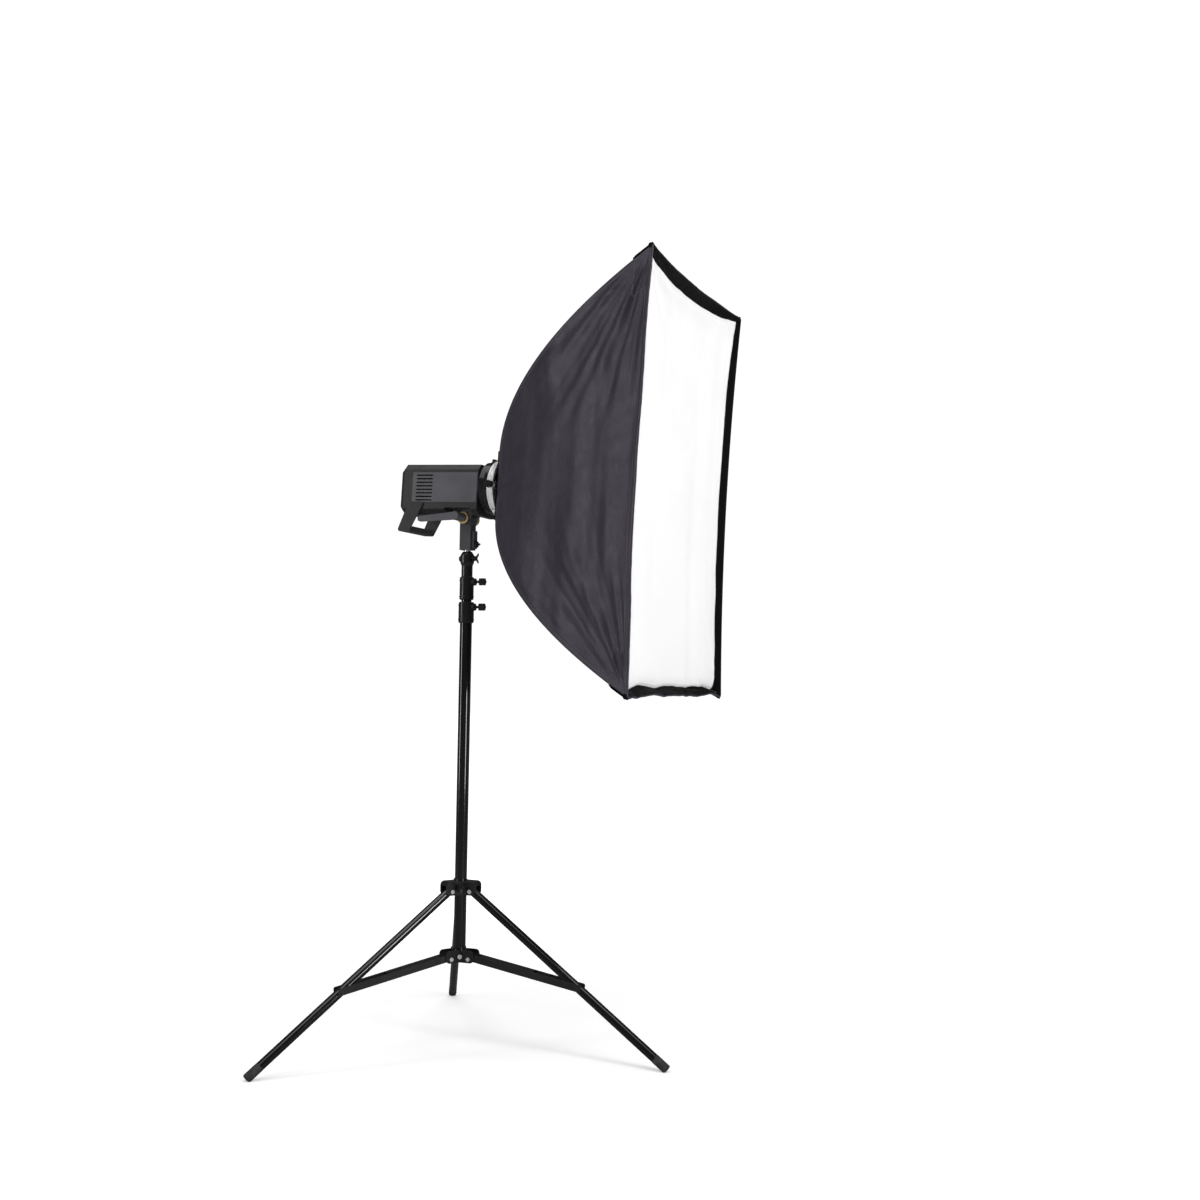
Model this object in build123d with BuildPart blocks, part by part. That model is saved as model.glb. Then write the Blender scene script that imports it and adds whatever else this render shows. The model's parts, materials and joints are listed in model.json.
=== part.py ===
from build123d import *
import math
import os

# Studio softbox on a battery flash head and a folding light stand, in millimetres.
# Every piece is drawn about the column's axis, +X the way the softbox faces and +Z up from the floor.
# It is written with the origin on the floor under the middle of the whole object's outline.

os.makedirs("parts", exist_ok=True)

# ---------------------------------------------------------------- shared fits
RUNNING_GAP = 0.07  # radial clearance of a shaft that turns or slides
SIDE_GAP = 0.3  # end clearance beside a moving piece
WHOLE_TURN = 360.0
COLUMN_X = -152.4  # column axis in the written frame, behind the middle of the outline

# ---------------------------------------------------------------- stand: legs and braces
LEG_COUNT = 3
LEG_STEP = WHOLE_TURN / LEG_COUNT
PIVOT_RADIUS = 31.0  # both hinge circles, so that a folded leg lies along the column
LEG_PIVOT_Z = 352.6
BRACE_PIVOT_Z = 199.7
LEG_ANGLE = 54.1  # open leg, from the vertical
LEG_RIVET_REACH = 336.0  # leg pivot to brace rivet
LEG_LENGTH = 587.2  # leg pivot to the tube's lower end
LEG_R = 10.0
LEG_WALL_R = 7.8  # inside of the leg tube
LEG_TOP = 8.0  # tube beyond its pivot
FOOT_R = 10.25
FOOT_SLEEVE = 30.0  # foot over the turned-down end of the tube
FOOT_END = 6.0  # foot beyond the tube
FOOT_SEAT_R = 8.8
FOOT_BEVEL = 1.5
HINGE_PIN_R = 2.95
HINGE_HEAD_R = 4.6
HINGE_HEAD = 1.6

LEG_DROP = math.radians(LEG_ANGLE)
RIVET_RADIUS = PIVOT_RADIUS + LEG_RIVET_REACH * math.sin(LEG_DROP)
RIVET_Z = LEG_PIVOT_Z - LEG_RIVET_REACH * math.cos(LEG_DROP)
BRACE_LENGTH = math.hypot(RIVET_RADIUS - PIVOT_RADIUS, RIVET_Z - BRACE_PIVOT_Z)
BRACE_ANGLE = math.degrees(math.atan2(RIVET_Z - BRACE_PIVOT_Z, RIVET_RADIUS - PIVOT_RADIUS))

BRACE_WIDTH = 25.0
BRACE_GAP = 22.0  # inside the channel, around the leg
BRACE_HEIGHT = 16.0
BRACE_TOP = 11.8  # outer face of the web above the pivot line
BRACE_WEB = 1.5
BRACE_WEB_START = 24.0
BRACE_WEB_END = 158.0
BRACE_TAIL = 7.0  # flange beyond the pivot and the rivet
RIVET_R = 3.0
RIVET_HEAD_R = 3.8
RIVET_HEAD = 1.2
RIVET_INNER = 10.05  # rivet stubs end just clear of the leg tube

# ---------------------------------------------------------------- stand: column
BASE_R = 14.0
BASE_BORE_R = 12.5
BASE_BOTTOM = 190.0
BASE_TOP = 985.0
MIDDLE_R = 11.75
MIDDLE_BORE_R = 10.45
MIDDLE_BOTTOM = 260.0
MIDDLE_TOP = 1060.0
TOP_R = 9.7
TOP_BORE_R = 8.5
TOP_BOTTOM = 300.0
TOP_TOP = 1100.0
BUSH_LENGTH = 30.0

LOWER_COLLAR_R = 19.0
LOWER_COLLAR_BOTTOM = 191.0
LOWER_COLLAR_TOP = 219.0
LOWER_EAR_GAP = 25.6
LOWER_EAR = 3.5
LOWER_EAR_REACH = 44.0
BASE_PLUG = 4.0  # cap under the base tube

LEG_COLLAR_R = 20.0
LEG_COLLAR_BOTTOM = 344.0
LEG_COLLAR_TOP = 376.0
LEG_EAR_GAP = 22.2
LEG_EAR = 4.0
LEG_EAR_REACH = 46.0
LEG_SLOT_START = 17.6
LEG_SLOT_TOP = 366.5

KNOB_AZIMUTH = 300.0  # collar knob and collar screw, between two legs
COLLAR_KNOB_Z = 361.0
COLLAR_BOSS_REACH = 29.0
COLLAR_BOSS_R = 8.0
COLLAR_SCREW_Z = 205.0
SCREW_BOSS_REACH = 24.0
SCREW_BOSS_R = 6.5
SCREW_HEAD_R = 5.0
SCREW_HEAD = 2.5
SCREW_SOCKET = 1.5
STUD_R = 3.0

LOWER_CLAMP_R = 18.0
LOWER_CLAMP_BOTTOM = 971.0
LOWER_CLAMP_TOP = 1020.0
LOWER_KNOB_Z = 1008.0
UPPER_CLAMP_R = 16.5
UPPER_CLAMP_BOTTOM = 1025.0
UPPER_CLAMP_TOP = 1079.0
UPPER_KNOB_Z = 1067.0
CLAMP_BOSS_R = 8.5
CLAMP_BOSS_REACH = 23.0
CLAMP_KNOB_START = 34.5
CLAMP_KNOB_LENGTH = 13.0
CLAMP_KNOB_R = 9.0
CLAMP_KNOB_LOBES = 6
CLAMP_LOBE_R = 3.0
CLAMP_BEAD = 2.0  # width of the raised bead near each end
CLAMP_BEAD_INSET = 8.0
CLAMP_BEAD_RISE = 1.0

NECK_R = 13.0
NECK_BOTTOM = UPPER_CLAMP_TOP + SIDE_GAP
HUB_R = 16.0
HUB_TOP_R = 11.0
HUB_BOTTOM = 1105.0
HUB_FLARE = 7.0
HUB_SHOULDER = 8.0
HUB_TOP = 1138.0
HUB_SCREW_Z = 1122.0
SPIGOT_R = 7.95
SPIGOT_BOTTOM = 1104.0
SPIGOT_TOP = 1186.0
SPIGOT_WAIST_R = 6.6
SPIGOT_WAIST_Z = 1155.0
SPIGOT_WAIST_HALF = 4.0
SPIGOT_WAIST_SLOPE = 2.5
SPIGOT_BEVEL = 1.5

# ================================================================ stand


def axle(start, end, radius, height, azimuth=0.0):
    """A plain round bar along the radius at an azimuth, between two distances from the column's axis."""
    with BuildPart() as bar:
        with BuildSketch(Plane.YZ.offset(start)):
            Circle(radius)
        extrude(amount=end - start)
    return bar.part.translate((0, 0, height)).rotate(Axis.Z, azimuth)


def write(piece, name):
    """Moves one finished piece to the written frame, labels it and writes its STEP file."""
    placed = piece.translate((COLUMN_X, 0, 0))
    placed.label = name
    export_step(placed, f"parts/{name}.step")


with BuildPart() as base_tube:
    with BuildSketch(Plane.XY.offset(BASE_BOTTOM)):
        Circle(BASE_R)
        Circle(BASE_BORE_R, mode=Mode.SUBTRACT)
    extrude(amount=BASE_TOP - BASE_BOTTOM)
    with BuildSketch(Plane.XY.offset(BASE_BOTTOM)):
        Circle(BASE_BORE_R)
    extrude(amount=BASE_PLUG)
write(base_tube.part, "base_tube")

LOWER_EAR_OFFSET = (LOWER_EAR_GAP + LOWER_EAR) / 2
LOWER_EAR_START = 12.0
LOWER_EAR_CORNER = 9.0
with BuildPart() as lower_collar:
    with BuildSketch(Plane.XY.offset(LOWER_COLLAR_BOTTOM)):
        Circle(LOWER_COLLAR_R)
        with PolarLocations(0, LEG_COUNT):
            with Locations(((LOWER_EAR_START + LOWER_EAR_REACH) / 2, 0)):
                with GridLocations(0, 2 * LOWER_EAR_OFFSET, 1, 2):
                    Rectangle(LOWER_EAR_REACH - LOWER_EAR_START, LOWER_EAR)
    extrude(amount=LOWER_COLLAR_TOP - LOWER_COLLAR_BOTTOM)
    outer_corners = lower_collar.edges().filter_by(
        lambda e: e.center().X ** 2 + e.center().Y ** 2 > (LOWER_EAR_REACH - 1) ** 2
    )
    fillet(outer_corners.filter_by(lambda e: abs(e.length - LOWER_EAR) < 0.1), radius=LOWER_EAR_CORNER)
    add(axle(0, SCREW_BOSS_REACH, SCREW_BOSS_R, COLLAR_SCREW_Z, KNOB_AZIMUTH))
    with BuildSketch(Plane.XY.offset(LOWER_COLLAR_BOTTOM)):
        Circle(BASE_R)
    extrude(amount=LOWER_COLLAR_TOP - LOWER_COLLAR_BOTTOM, mode=Mode.SUBTRACT)
    for leg in range(LEG_COUNT):
        direction = Plane.XZ.rotated((0, 0, leg * LEG_STEP))
        with BuildSketch(direction):
            with Locations((PIVOT_RADIUS, BRACE_PIVOT_Z)):
                Circle(HINGE_PIN_R)
        extrude(amount=LOWER_EAR_GAP, both=True, mode=Mode.SUBTRACT)
write(lower_collar.part, "lower_collar")


def hinge_pins(height, outer_width):
    """One headed pin per leg, across the ears on the hinge circle."""
    with BuildPart() as pins:
        for leg in range(LEG_COUNT):
            direction = Plane.XZ.rotated((0, 0, leg * LEG_STEP))
            with BuildSketch(direction):
                with Locations((PIVOT_RADIUS, height)):
                    Circle(HINGE_PIN_R)
            extrude(amount=outer_width / 2, both=True)
            for side in (-1, 1):
                with BuildSketch(direction.offset(side * outer_width / 2)):
                    with Locations((PIVOT_RADIUS, height)):
                        Circle(HINGE_HEAD_R)
                extrude(amount=side * HINGE_HEAD)
    return pins


lower_pins = hinge_pins(BRACE_PIVOT_Z, LOWER_EAR_GAP + 2 * LOWER_EAR)
write(lower_pins.part, "brace_pivot_pins")

LEG_EAR_START = 10.0
LEG_EAR_CORNER = 10.0
LEG_EAR_WIDTH = LEG_EAR_GAP + 2 * LEG_EAR
with BuildPart() as leg_collar:
    with BuildSketch(Plane.XY.offset(LEG_COLLAR_BOTTOM)):
        Circle(LEG_COLLAR_R)
        with PolarLocations(0, LEG_COUNT):
            with Locations(((LEG_EAR_START + LEG_EAR_REACH) / 2, 0)):
                Rectangle(LEG_EAR_REACH - LEG_EAR_START, LEG_EAR_WIDTH)
    extrude(amount=LEG_COLLAR_TOP - LEG_COLLAR_BOTTOM)
    ear_tips = leg_collar.edges().filter_by(
        lambda e: e.center().X ** 2 + e.center().Y ** 2 > (LEG_EAR_REACH - 1) ** 2
    )
    fillet(ear_tips.filter_by(lambda e: abs(e.length - LEG_EAR_WIDTH) < 0.1), radius=LEG_EAR_CORNER)
    for leg in range(LEG_COUNT):
        direction = Plane.XZ.rotated((0, 0, leg * LEG_STEP))
        with BuildSketch(direction):
            with Locations((LEG_SLOT_START, LEG_COLLAR_BOTTOM)):
                Rectangle(LEG_EAR_REACH, LEG_SLOT_TOP - LEG_COLLAR_BOTTOM, align=(Align.MIN, Align.MIN))
        extrude(amount=LEG_EAR_GAP / 2, both=True, mode=Mode.SUBTRACT)
        with BuildSketch(direction):
            with Locations((PIVOT_RADIUS, LEG_PIVOT_Z)):
                Circle(HINGE_PIN_R)
        extrude(amount=LEG_EAR_REACH, both=True, mode=Mode.SUBTRACT)
    add(axle(0, COLLAR_BOSS_REACH, COLLAR_BOSS_R, COLLAR_KNOB_Z, KNOB_AZIMUTH))
    with BuildSketch(Plane.XY.offset(LEG_COLLAR_BOTTOM)):
        Circle(BASE_R + RUNNING_GAP)
    extrude(amount=LEG_COLLAR_TOP - LEG_COLLAR_BOTTOM, mode=Mode.SUBTRACT)
    add(
        axle(0, LEG_EAR_REACH, STUD_R + RUNNING_GAP, COLLAR_KNOB_Z, KNOB_AZIMUTH),
        mode=Mode.SUBTRACT,
    )
write(leg_collar.part, "leg_collar")

leg_pins = hinge_pins(LEG_PIVOT_Z, LEG_EAR_WIDTH)
write(leg_pins.part, "leg_pivot_pins")

# One leg is drawn pointing along +X and lying in its open place, then copied round the column.
LEG_AXIS = Plane(
    origin=(PIVOT_RADIUS, 0, LEG_PIVOT_Z),
    x_dir=(0, 1, 0),
    z_dir=(math.sin(LEG_DROP), 0, -math.cos(LEG_DROP)),
)
TUBE_END = LEG_LENGTH - FOOT_SLEEVE
with BuildPart() as leg_tube:
    with BuildSketch(LEG_AXIS.offset(-LEG_TOP)):
        Circle(LEG_R)
    extrude(amount=LEG_TOP + TUBE_END)
    with BuildSketch(LEG_AXIS.offset(TUBE_END)):
        Circle(FOOT_SEAT_R)
    extrude(amount=FOOT_SLEEVE)
    with BuildSketch(LEG_AXIS.offset(LEG_TOP)):
        Circle(LEG_WALL_R)
    extrude(amount=LEG_LENGTH, mode=Mode.SUBTRACT)
    with BuildSketch(Plane.XZ):
        with Locations((PIVOT_RADIUS, LEG_PIVOT_Z)):
            Circle(HINGE_PIN_R + RUNNING_GAP)
    extrude(amount=LEG_R, both=True, mode=Mode.SUBTRACT)

with BuildPart() as foot_cap:
    with BuildSketch(LEG_AXIS.offset(TUBE_END)):
        Circle(FOOT_R)
    extrude(amount=FOOT_SLEEVE + FOOT_END)
    chamfer(foot_cap.faces().sort_by(Axis.X)[-1].edges(), length=FOOT_BEVEL)
    with BuildSketch(LEG_AXIS.offset(TUBE_END)):
        Circle(FOOT_SEAT_R)
    extrude(amount=FOOT_SLEEVE, mode=Mode.SUBTRACT)
    split(bisect_by=Plane.XY, keep=Keep.TOP)

BRACE_AXIS = Plane(
    origin=(PIVOT_RADIUS, 0, BRACE_PIVOT_Z),
    x_dir=(math.cos(math.radians(BRACE_ANGLE)), 0, math.sin(math.radians(BRACE_ANGLE))),
    z_dir=(0, -1, 0),
)
BRACE_BOTTOM = BRACE_TOP - BRACE_HEIGHT
with BuildPart() as brace:
    with BuildSketch(BRACE_AXIS):
        with Locations((-BRACE_TAIL, BRACE_BOTTOM)):
            Rectangle(BRACE_LENGTH + 2 * BRACE_TAIL, BRACE_HEIGHT, align=(Align.MIN, Align.MIN))
        fillet(vertices(), radius=4.0)
    extrude(amount=BRACE_WIDTH / 2, both=True)
    with BuildSketch(BRACE_AXIS):
        with Locations((-2 * BRACE_TAIL, BRACE_BOTTOM)):
            Rectangle(
                BRACE_LENGTH + 4 * BRACE_TAIL, BRACE_HEIGHT - BRACE_WEB, align=(Align.MIN, Align.MIN)
            )
        with Locations((-2 * BRACE_TAIL, 0)):
            Rectangle(BRACE_WEB_START + 2 * BRACE_TAIL, BRACE_HEIGHT, align=(Align.MIN, Align.MIN))
        with Locations((BRACE_WEB_END, 0)):
            Rectangle(BRACE_LENGTH, BRACE_HEIGHT, align=(Align.MIN, Align.MIN))
    extrude(amount=BRACE_GAP / 2, both=True, mode=Mode.SUBTRACT)
    with BuildSketch(BRACE_AXIS):
        Circle(HINGE_PIN_R + RUNNING_GAP)
    extrude(amount=BRACE_WIDTH, both=True, mode=Mode.SUBTRACT)
    for side in (-1, 1):
        with BuildSketch(BRACE_AXIS.offset(side * RIVET_INNER)):
            with Locations((BRACE_LENGTH, 0)):
                Circle(RIVET_R)
        extrude(amount=side * (BRACE_WIDTH / 2 - RIVET_INNER))
        with BuildSketch(BRACE_AXIS.offset(side * BRACE_WIDTH / 2)):
            with Locations((BRACE_LENGTH, 0)):
                Circle(RIVET_HEAD_R)
        extrude(amount=side * RIVET_HEAD)

for leg in range(LEG_COUNT):
    turn = leg * LEG_STEP
    write(leg_tube.part.rotate(Axis.Z, turn), f"leg_{leg + 1}")
    write(foot_cap.part.rotate(Axis.Z, turn), f"foot_{leg + 1}")
    write(brace.part.rotate(Axis.Z, turn), f"brace_{leg + 1}")


def sliding_tube(radius, bore_r, bottom, top, bush_r):
    """A telescoping tube with a guide bush swelling its lower end to run inside the tube below."""
    with BuildPart() as tube:
        with BuildSketch(Plane.XY.offset(bottom)):
            Circle(radius)
        extrude(amount=top - bottom)
        with BuildSketch(Plane.XY.offset(bottom)):
            Circle(bush_r)
        extrude(amount=BUSH_LENGTH)
        with BuildSketch(Plane.XY.offset(bottom)):
            Circle(bore_r)
        extrude(amount=top - bottom, mode=Mode.SUBTRACT)
    return tube


middle_tube = sliding_tube(
    MIDDLE_R, MIDDLE_BORE_R, MIDDLE_BOTTOM, MIDDLE_TOP, BASE_BORE_R - RUNNING_GAP
)
write(middle_tube.part, "middle_tube")
top_tube = sliding_tube(TOP_R, TOP_BORE_R, TOP_BOTTOM, TOP_TOP, MIDDLE_BORE_R - RUNNING_GAP)
write(top_tube.part, "top_tube")


def section_clamp(radius, bottom, top, tube_top, tube_r, inner_r, knob_z):
    """A collar fixed on one tube's top end that guides the next tube and holds its locking screw."""
    with BuildPart() as clamp:
        with BuildSketch(Plane.XY.offset(bottom)):
            Circle(radius)
        extrude(amount=top - bottom)
        rims = clamp.edges().filter_by(GeomType.CIRCLE)
        chamfer(rims, length=2.0)
        for bead in (bottom + CLAMP_BEAD_INSET, top - CLAMP_BEAD_INSET):
            with BuildSketch(Plane.XY.offset(bead - CLAMP_BEAD / 2)):
                Circle(radius + CLAMP_BEAD_RISE)
                Circle(radius - CLAMP_BEAD_RISE, mode=Mode.SUBTRACT)
            extrude(amount=CLAMP_BEAD)
        add(axle(0, CLAMP_BOSS_REACH, CLAMP_BOSS_R, knob_z))
        with BuildSketch(Plane.XY.offset(bottom)):
            Circle(tube_r)
        extrude(amount=tube_top - bottom, mode=Mode.SUBTRACT)
        with BuildSketch(Plane.XY.offset(bottom)):
            Circle(inner_r + RUNNING_GAP)
        extrude(amount=top - bottom, mode=Mode.SUBTRACT)
        add(axle(tube_r, 2 * CLAMP_BOSS_REACH, STUD_R + RUNNING_GAP, knob_z), mode=Mode.SUBTRACT)
        add(axle(0, tube_r, STUD_R + RUNNING_GAP, knob_z), mode=Mode.SUBTRACT)
    return clamp


lower_clamp = section_clamp(
    LOWER_CLAMP_R, LOWER_CLAMP_BOTTOM, LOWER_CLAMP_TOP, BASE_TOP, BASE_R, MIDDLE_R, LOWER_KNOB_Z
)
write(lower_clamp.part, "lower_clamp")
upper_clamp = section_clamp(
    UPPER_CLAMP_R, UPPER_CLAMP_BOTTOM, UPPER_CLAMP_TOP, MIDDLE_TOP, MIDDLE_R, TOP_R, UPPER_KNOB_Z
)
write(upper_clamp.part, "upper_clamp")


def lobed_knob(tip, height):
    """A locking screw with a lobed grip, its tip just clear of the tube it locks."""
    with BuildPart() as knob:
        with BuildSketch(Plane.YZ.offset(CLAMP_KNOB_START)):
            Circle(CLAMP_KNOB_R - CLAMP_LOBE_R / 2)
            with PolarLocations(CLAMP_KNOB_R - CLAMP_LOBE_R, CLAMP_KNOB_LOBES):
                Circle(CLAMP_LOBE_R)
        extrude(amount=CLAMP_KNOB_LENGTH)
        with BuildSketch(Plane.YZ.offset(tip)):
            Circle(STUD_R)
        extrude(amount=CLAMP_KNOB_START - tip)
    return knob.part.translate((0, 0, height))


write(lobed_knob(MIDDLE_R + 2 * RUNNING_GAP, LOWER_KNOB_Z), "lower_clamp_knob")
write(lobed_knob(TOP_R + 2 * RUNNING_GAP, UPPER_KNOB_Z), "upper_clamp_knob")

WING_SPAN = 30.0
WING_THICK = 5.0
WING_DEPTH = 12.0
WING_COLLAR_R = STUD_R + 2.5
WING_ROOT = 1.0  # start of the wings beyond the shoulder


def wing_screw(tip, shoulder, reach, span, height, azimuth=0.0):
    """A locking screw with a flat wing grip across its end."""
    with BuildPart() as screw:
        with BuildSketch(Plane.YZ.offset(tip)):
            Circle(STUD_R)
        extrude(amount=shoulder - tip)
        with BuildSketch(Plane.YZ.offset(shoulder)):
            Circle(WING_COLLAR_R)
        extrude(amount=(reach - shoulder) / 2)
        with BuildSketch(Plane.XZ):
            with BuildLine():
                Polyline(
                    (shoulder + WING_ROOT, 0),
                    (reach, span / 2),
                    (reach, span / 2 - WING_THICK),
                    (shoulder + WING_ROOT + WING_THICK, 0),
                    (reach, WING_THICK - span / 2),
                    (reach, -span / 2),
                    close=True,
                )
            make_face()
        extrude(amount=WING_THICK / 2, both=True)
    return screw.part.translate((0, 0, height)).rotate(Axis.Z, azimuth)


COLLAR_WING_START = COLLAR_BOSS_REACH + SIDE_GAP
write(
    wing_screw(
        BASE_R + 2 * RUNNING_GAP,
        COLLAR_WING_START,
        COLLAR_WING_START + WING_DEPTH,
        WING_SPAN,
        COLLAR_KNOB_Z,
        KNOB_AZIMUTH,
    ),
    "collar_knob",
)

with BuildPart() as collar_screw:
    with BuildSketch(Plane.YZ.offset(SCREW_BOSS_REACH)):
        Circle(SCREW_HEAD_R)
    extrude(amount=SCREW_HEAD)
    with BuildSketch(Plane.YZ.offset(SCREW_BOSS_REACH + SCREW_HEAD)):
        RegularPolygon(STUD_R, 6)
    extrude(amount=-SCREW_SOCKET, mode=Mode.SUBTRACT)
write(
    collar_screw.part.translate((0, 0, COLLAR_SCREW_Z)).rotate(Axis.Z, KNOB_AZIMUTH),
    "collar_screw",
)

HUB_BOSS_REACH = 19.0
HUB_BOSS_R = 6.5
with BuildPart() as spigot_head:
    with BuildSketch(Plane.XZ):
        with BuildLine():
            Polyline(
                (0, NECK_BOTTOM),
                (NECK_R, NECK_BOTTOM),
                (NECK_R, HUB_BOTTOM),
                (HUB_R, HUB_BOTTOM + HUB_FLARE),
                (HUB_R, HUB_TOP - HUB_SHOULDER),
                (HUB_TOP_R, HUB_TOP),
                (0, HUB_TOP),
                close=True,
            )
        make_face()
    revolve(axis=Axis.Z)
    add(axle(-HUB_BOSS_REACH, 0, HUB_BOSS_R, HUB_SCREW_Z))
    add(axle(0, HUB_BOSS_REACH, HUB_BOSS_R, HUB_SCREW_Z))
    with BuildSketch(Plane.XY.offset(NECK_BOTTOM)):
        Circle(TOP_R)
    extrude(amount=TOP_TOP - NECK_BOTTOM, mode=Mode.SUBTRACT)
    with BuildSketch(Plane.XY.offset(SPIGOT_BOTTOM)):
        Circle(SPIGOT_R)
    extrude(amount=HUB_TOP - SPIGOT_BOTTOM, mode=Mode.SUBTRACT)
    add(axle(0, 2 * HUB_BOSS_REACH, STUD_R + RUNNING_GAP, HUB_SCREW_Z), mode=Mode.SUBTRACT)
write(spigot_head.part, "spigot_head")

HUB_WING_START = HUB_BOSS_REACH + SIDE_GAP
HUB_WING_SPAN = 24.0
HUB_WING_DEPTH = 10.0
write(
    wing_screw(
        SPIGOT_R + 2 * RUNNING_GAP,
        HUB_WING_START,
        HUB_WING_START + HUB_WING_DEPTH,
        HUB_WING_SPAN,
        HUB_SCREW_Z,
    ),
    "hub_wing_screw",
)

with BuildPart() as spigot:
    with BuildSketch(Plane.XZ):
        with BuildLine():
            Polyline(
                (0, SPIGOT_BOTTOM),
                (SPIGOT_R, SPIGOT_BOTTOM),
                (SPIGOT_R, SPIGOT_WAIST_Z - SPIGOT_WAIST_HALF - SPIGOT_WAIST_SLOPE),
                (SPIGOT_WAIST_R, SPIGOT_WAIST_Z - SPIGOT_WAIST_HALF),
                (SPIGOT_WAIST_R, SPIGOT_WAIST_Z + SPIGOT_WAIST_HALF),
                (SPIGOT_R, SPIGOT_WAIST_Z + SPIGOT_WAIST_HALF + SPIGOT_WAIST_SLOPE),
                (SPIGOT_R, SPIGOT_TOP - SPIGOT_BEVEL),
                (SPIGOT_R - SPIGOT_BEVEL, SPIGOT_TOP),
                (0, SPIGOT_TOP),
                close=True,
            )
        make_face()
    revolve(axis=Axis.Z)
write(spigot.part, "spigot")

# ================================================================ tilt bracket
TILT_Z = 1216.0
BRACKET_HALF_X = 15.0
BRACKET_HALF_Y = 13.5
BRACKET_BOTTOM = 1142.0
SPIGOT_SEAT_TOP = 1187.5
UMBRELLA_Z = 1195.0
UMBRELLA_R = 4.2
UMBRELLA_DROP = math.radians(8.0)  # the shaft falls towards the rear, under the head's handle
RECEIVER_Z = 1155.0
RECEIVER_REACH = 21.0
RECEIVER_PAD_RISE = 11.0  # pad's middle above the screw
RECEIVER_PAD_WIDTH = 18.0
RECEIVER_PAD_HEIGHT = 42.0
TILT_BOLT_R = 4.0
BRACKET_TILT_TOP = 15.0

UMBRELLA_AXIS = Plane(
    origin=(0, 0, UMBRELLA_Z),
    x_dir=(0, 1, 0),
    z_dir=(math.cos(UMBRELLA_DROP), 0, math.sin(UMBRELLA_DROP)),
)
with BuildPart() as tilt_bracket:
    with BuildSketch(Plane.XZ):
        with Locations((0, BRACKET_BOTTOM)):
            Rectangle(
                2 * BRACKET_HALF_X, TILT_Z - BRACKET_BOTTOM, align=(Align.CENTER, Align.MIN)
            )
        with Locations((0, TILT_Z)):
            Circle(BRACKET_TILT_TOP)
    extrude(amount=BRACKET_HALF_Y, both=True)
    upright_edges = tilt_bracket.edges().filter_by(Axis.Z)
    chamfer(upright_edges, length=1.5)
    with BuildSketch(Plane.YZ.offset(BRACKET_HALF_X)):
        with Locations((0, RECEIVER_Z + RECEIVER_PAD_RISE)):
            RectangleRounded(RECEIVER_PAD_WIDTH, RECEIVER_PAD_HEIGHT, radius=3.0)
    extrude(amount=RECEIVER_REACH - BRACKET_HALF_X)
    with BuildSketch(Plane.XY.offset(BRACKET_BOTTOM)):
        Circle(SPIGOT_R + RUNNING_GAP)
    extrude(amount=SPIGOT_SEAT_TOP - BRACKET_BOTTOM, mode=Mode.SUBTRACT)
    add(axle(0, 2 * RECEIVER_REACH, STUD_R + RUNNING_GAP, RECEIVER_Z), mode=Mode.SUBTRACT)
    with BuildSketch(UMBRELLA_AXIS):
        Circle(UMBRELLA_R)
    extrude(amount=3 * BRACKET_HALF_X, both=True, mode=Mode.SUBTRACT)
    with BuildSketch(Plane.XZ):
        with Locations((0, TILT_Z)):
            Circle(TILT_BOLT_R + RUNNING_GAP)
    extrude(amount=2 * BRACKET_HALF_Y, both=True, mode=Mode.SUBTRACT)
write(tilt_bracket.part, "tilt_bracket")

RECEIVER_GRIP_START = RECEIVER_REACH + SIDE_GAP
RECEIVER_TIP = SPIGOT_WAIST_R + 2 * RUNNING_GAP
RECEIVER_GRIP = 5.0
RECEIVER_GRIP_R = 7.0
RECEIVER_LOBE_R = 2.0
RECEIVER_NOSE = 7.0
RECEIVER_NOSE_R = 4.5
with BuildPart() as receiver_knob:
    with BuildSketch(Plane.YZ.offset(RECEIVER_TIP)):
        Circle(STUD_R)
    extrude(amount=RECEIVER_GRIP_START - RECEIVER_TIP)
    with BuildSketch(Plane.YZ.offset(RECEIVER_GRIP_START)):
        Circle(RECEIVER_GRIP_R)
        with PolarLocations(RECEIVER_GRIP_R - RECEIVER_LOBE_R / 2, CLAMP_KNOB_LOBES):
            Circle(RECEIVER_LOBE_R)
    extrude(amount=RECEIVER_GRIP)
    with BuildSketch(Plane.YZ.offset(RECEIVER_GRIP_START + RECEIVER_GRIP)):
        Circle(RECEIVER_NOSE_R)
    extrude(amount=RECEIVER_NOSE, taper=20.0)
write(receiver_knob.part.translate((0, 0, RECEIVER_Z)), "receiver_knob")

# ================================================================ flash head
# The head is drawn level about its tilt axis, local origin on that axis, then tipped nose down.
HEAD_TIP = 2.7
HEAD = Location((0, 0, TILT_Z), (0, HEAD_TIP, 0))

SHELL_REAR = -125.0
SHELL_FRONT = 50.0
SHELL_HALF_Y = 56.0
SHELL_BOTTOM = 4.0
SHELL_TOP = 122.0
SHELL_MID_Z = (SHELL_BOTTOM + SHELL_TOP) / 2
SHELL_WALL = 3.0
SHELL_CHAMFER = 13.0
INNER_CHAMFER = 11.0
TILT_BAY_HALF_X = 34.0
TILT_BAY_TOP = 20.0
COVER_REAR = -160.0
COVER_BEVEL = 14.0
COVER_RIM = 8.0
COVER_DEPTH = 27.0
PANEL_REAR = -122.0
PANEL_FRONT = 48.0
PANEL_BOTTOM = 33.0
PANEL_TOP = 102.0
PANEL_POCKET = 1.0
PANEL_PROUD = 0.6
LOUVER_COUNT = 8
LOUVER_PITCH = 8.3
LOUVER_HEIGHT = 3.2
LOUVER_REAR = -112.0
LOUVER_FRONT = -69.0
LOUVER_MID_Z = 66.0
VENT_MARGIN = 2.0
OPTIC_Z = 72.0  # flash tube and softbox axis above the tilt axis


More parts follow.
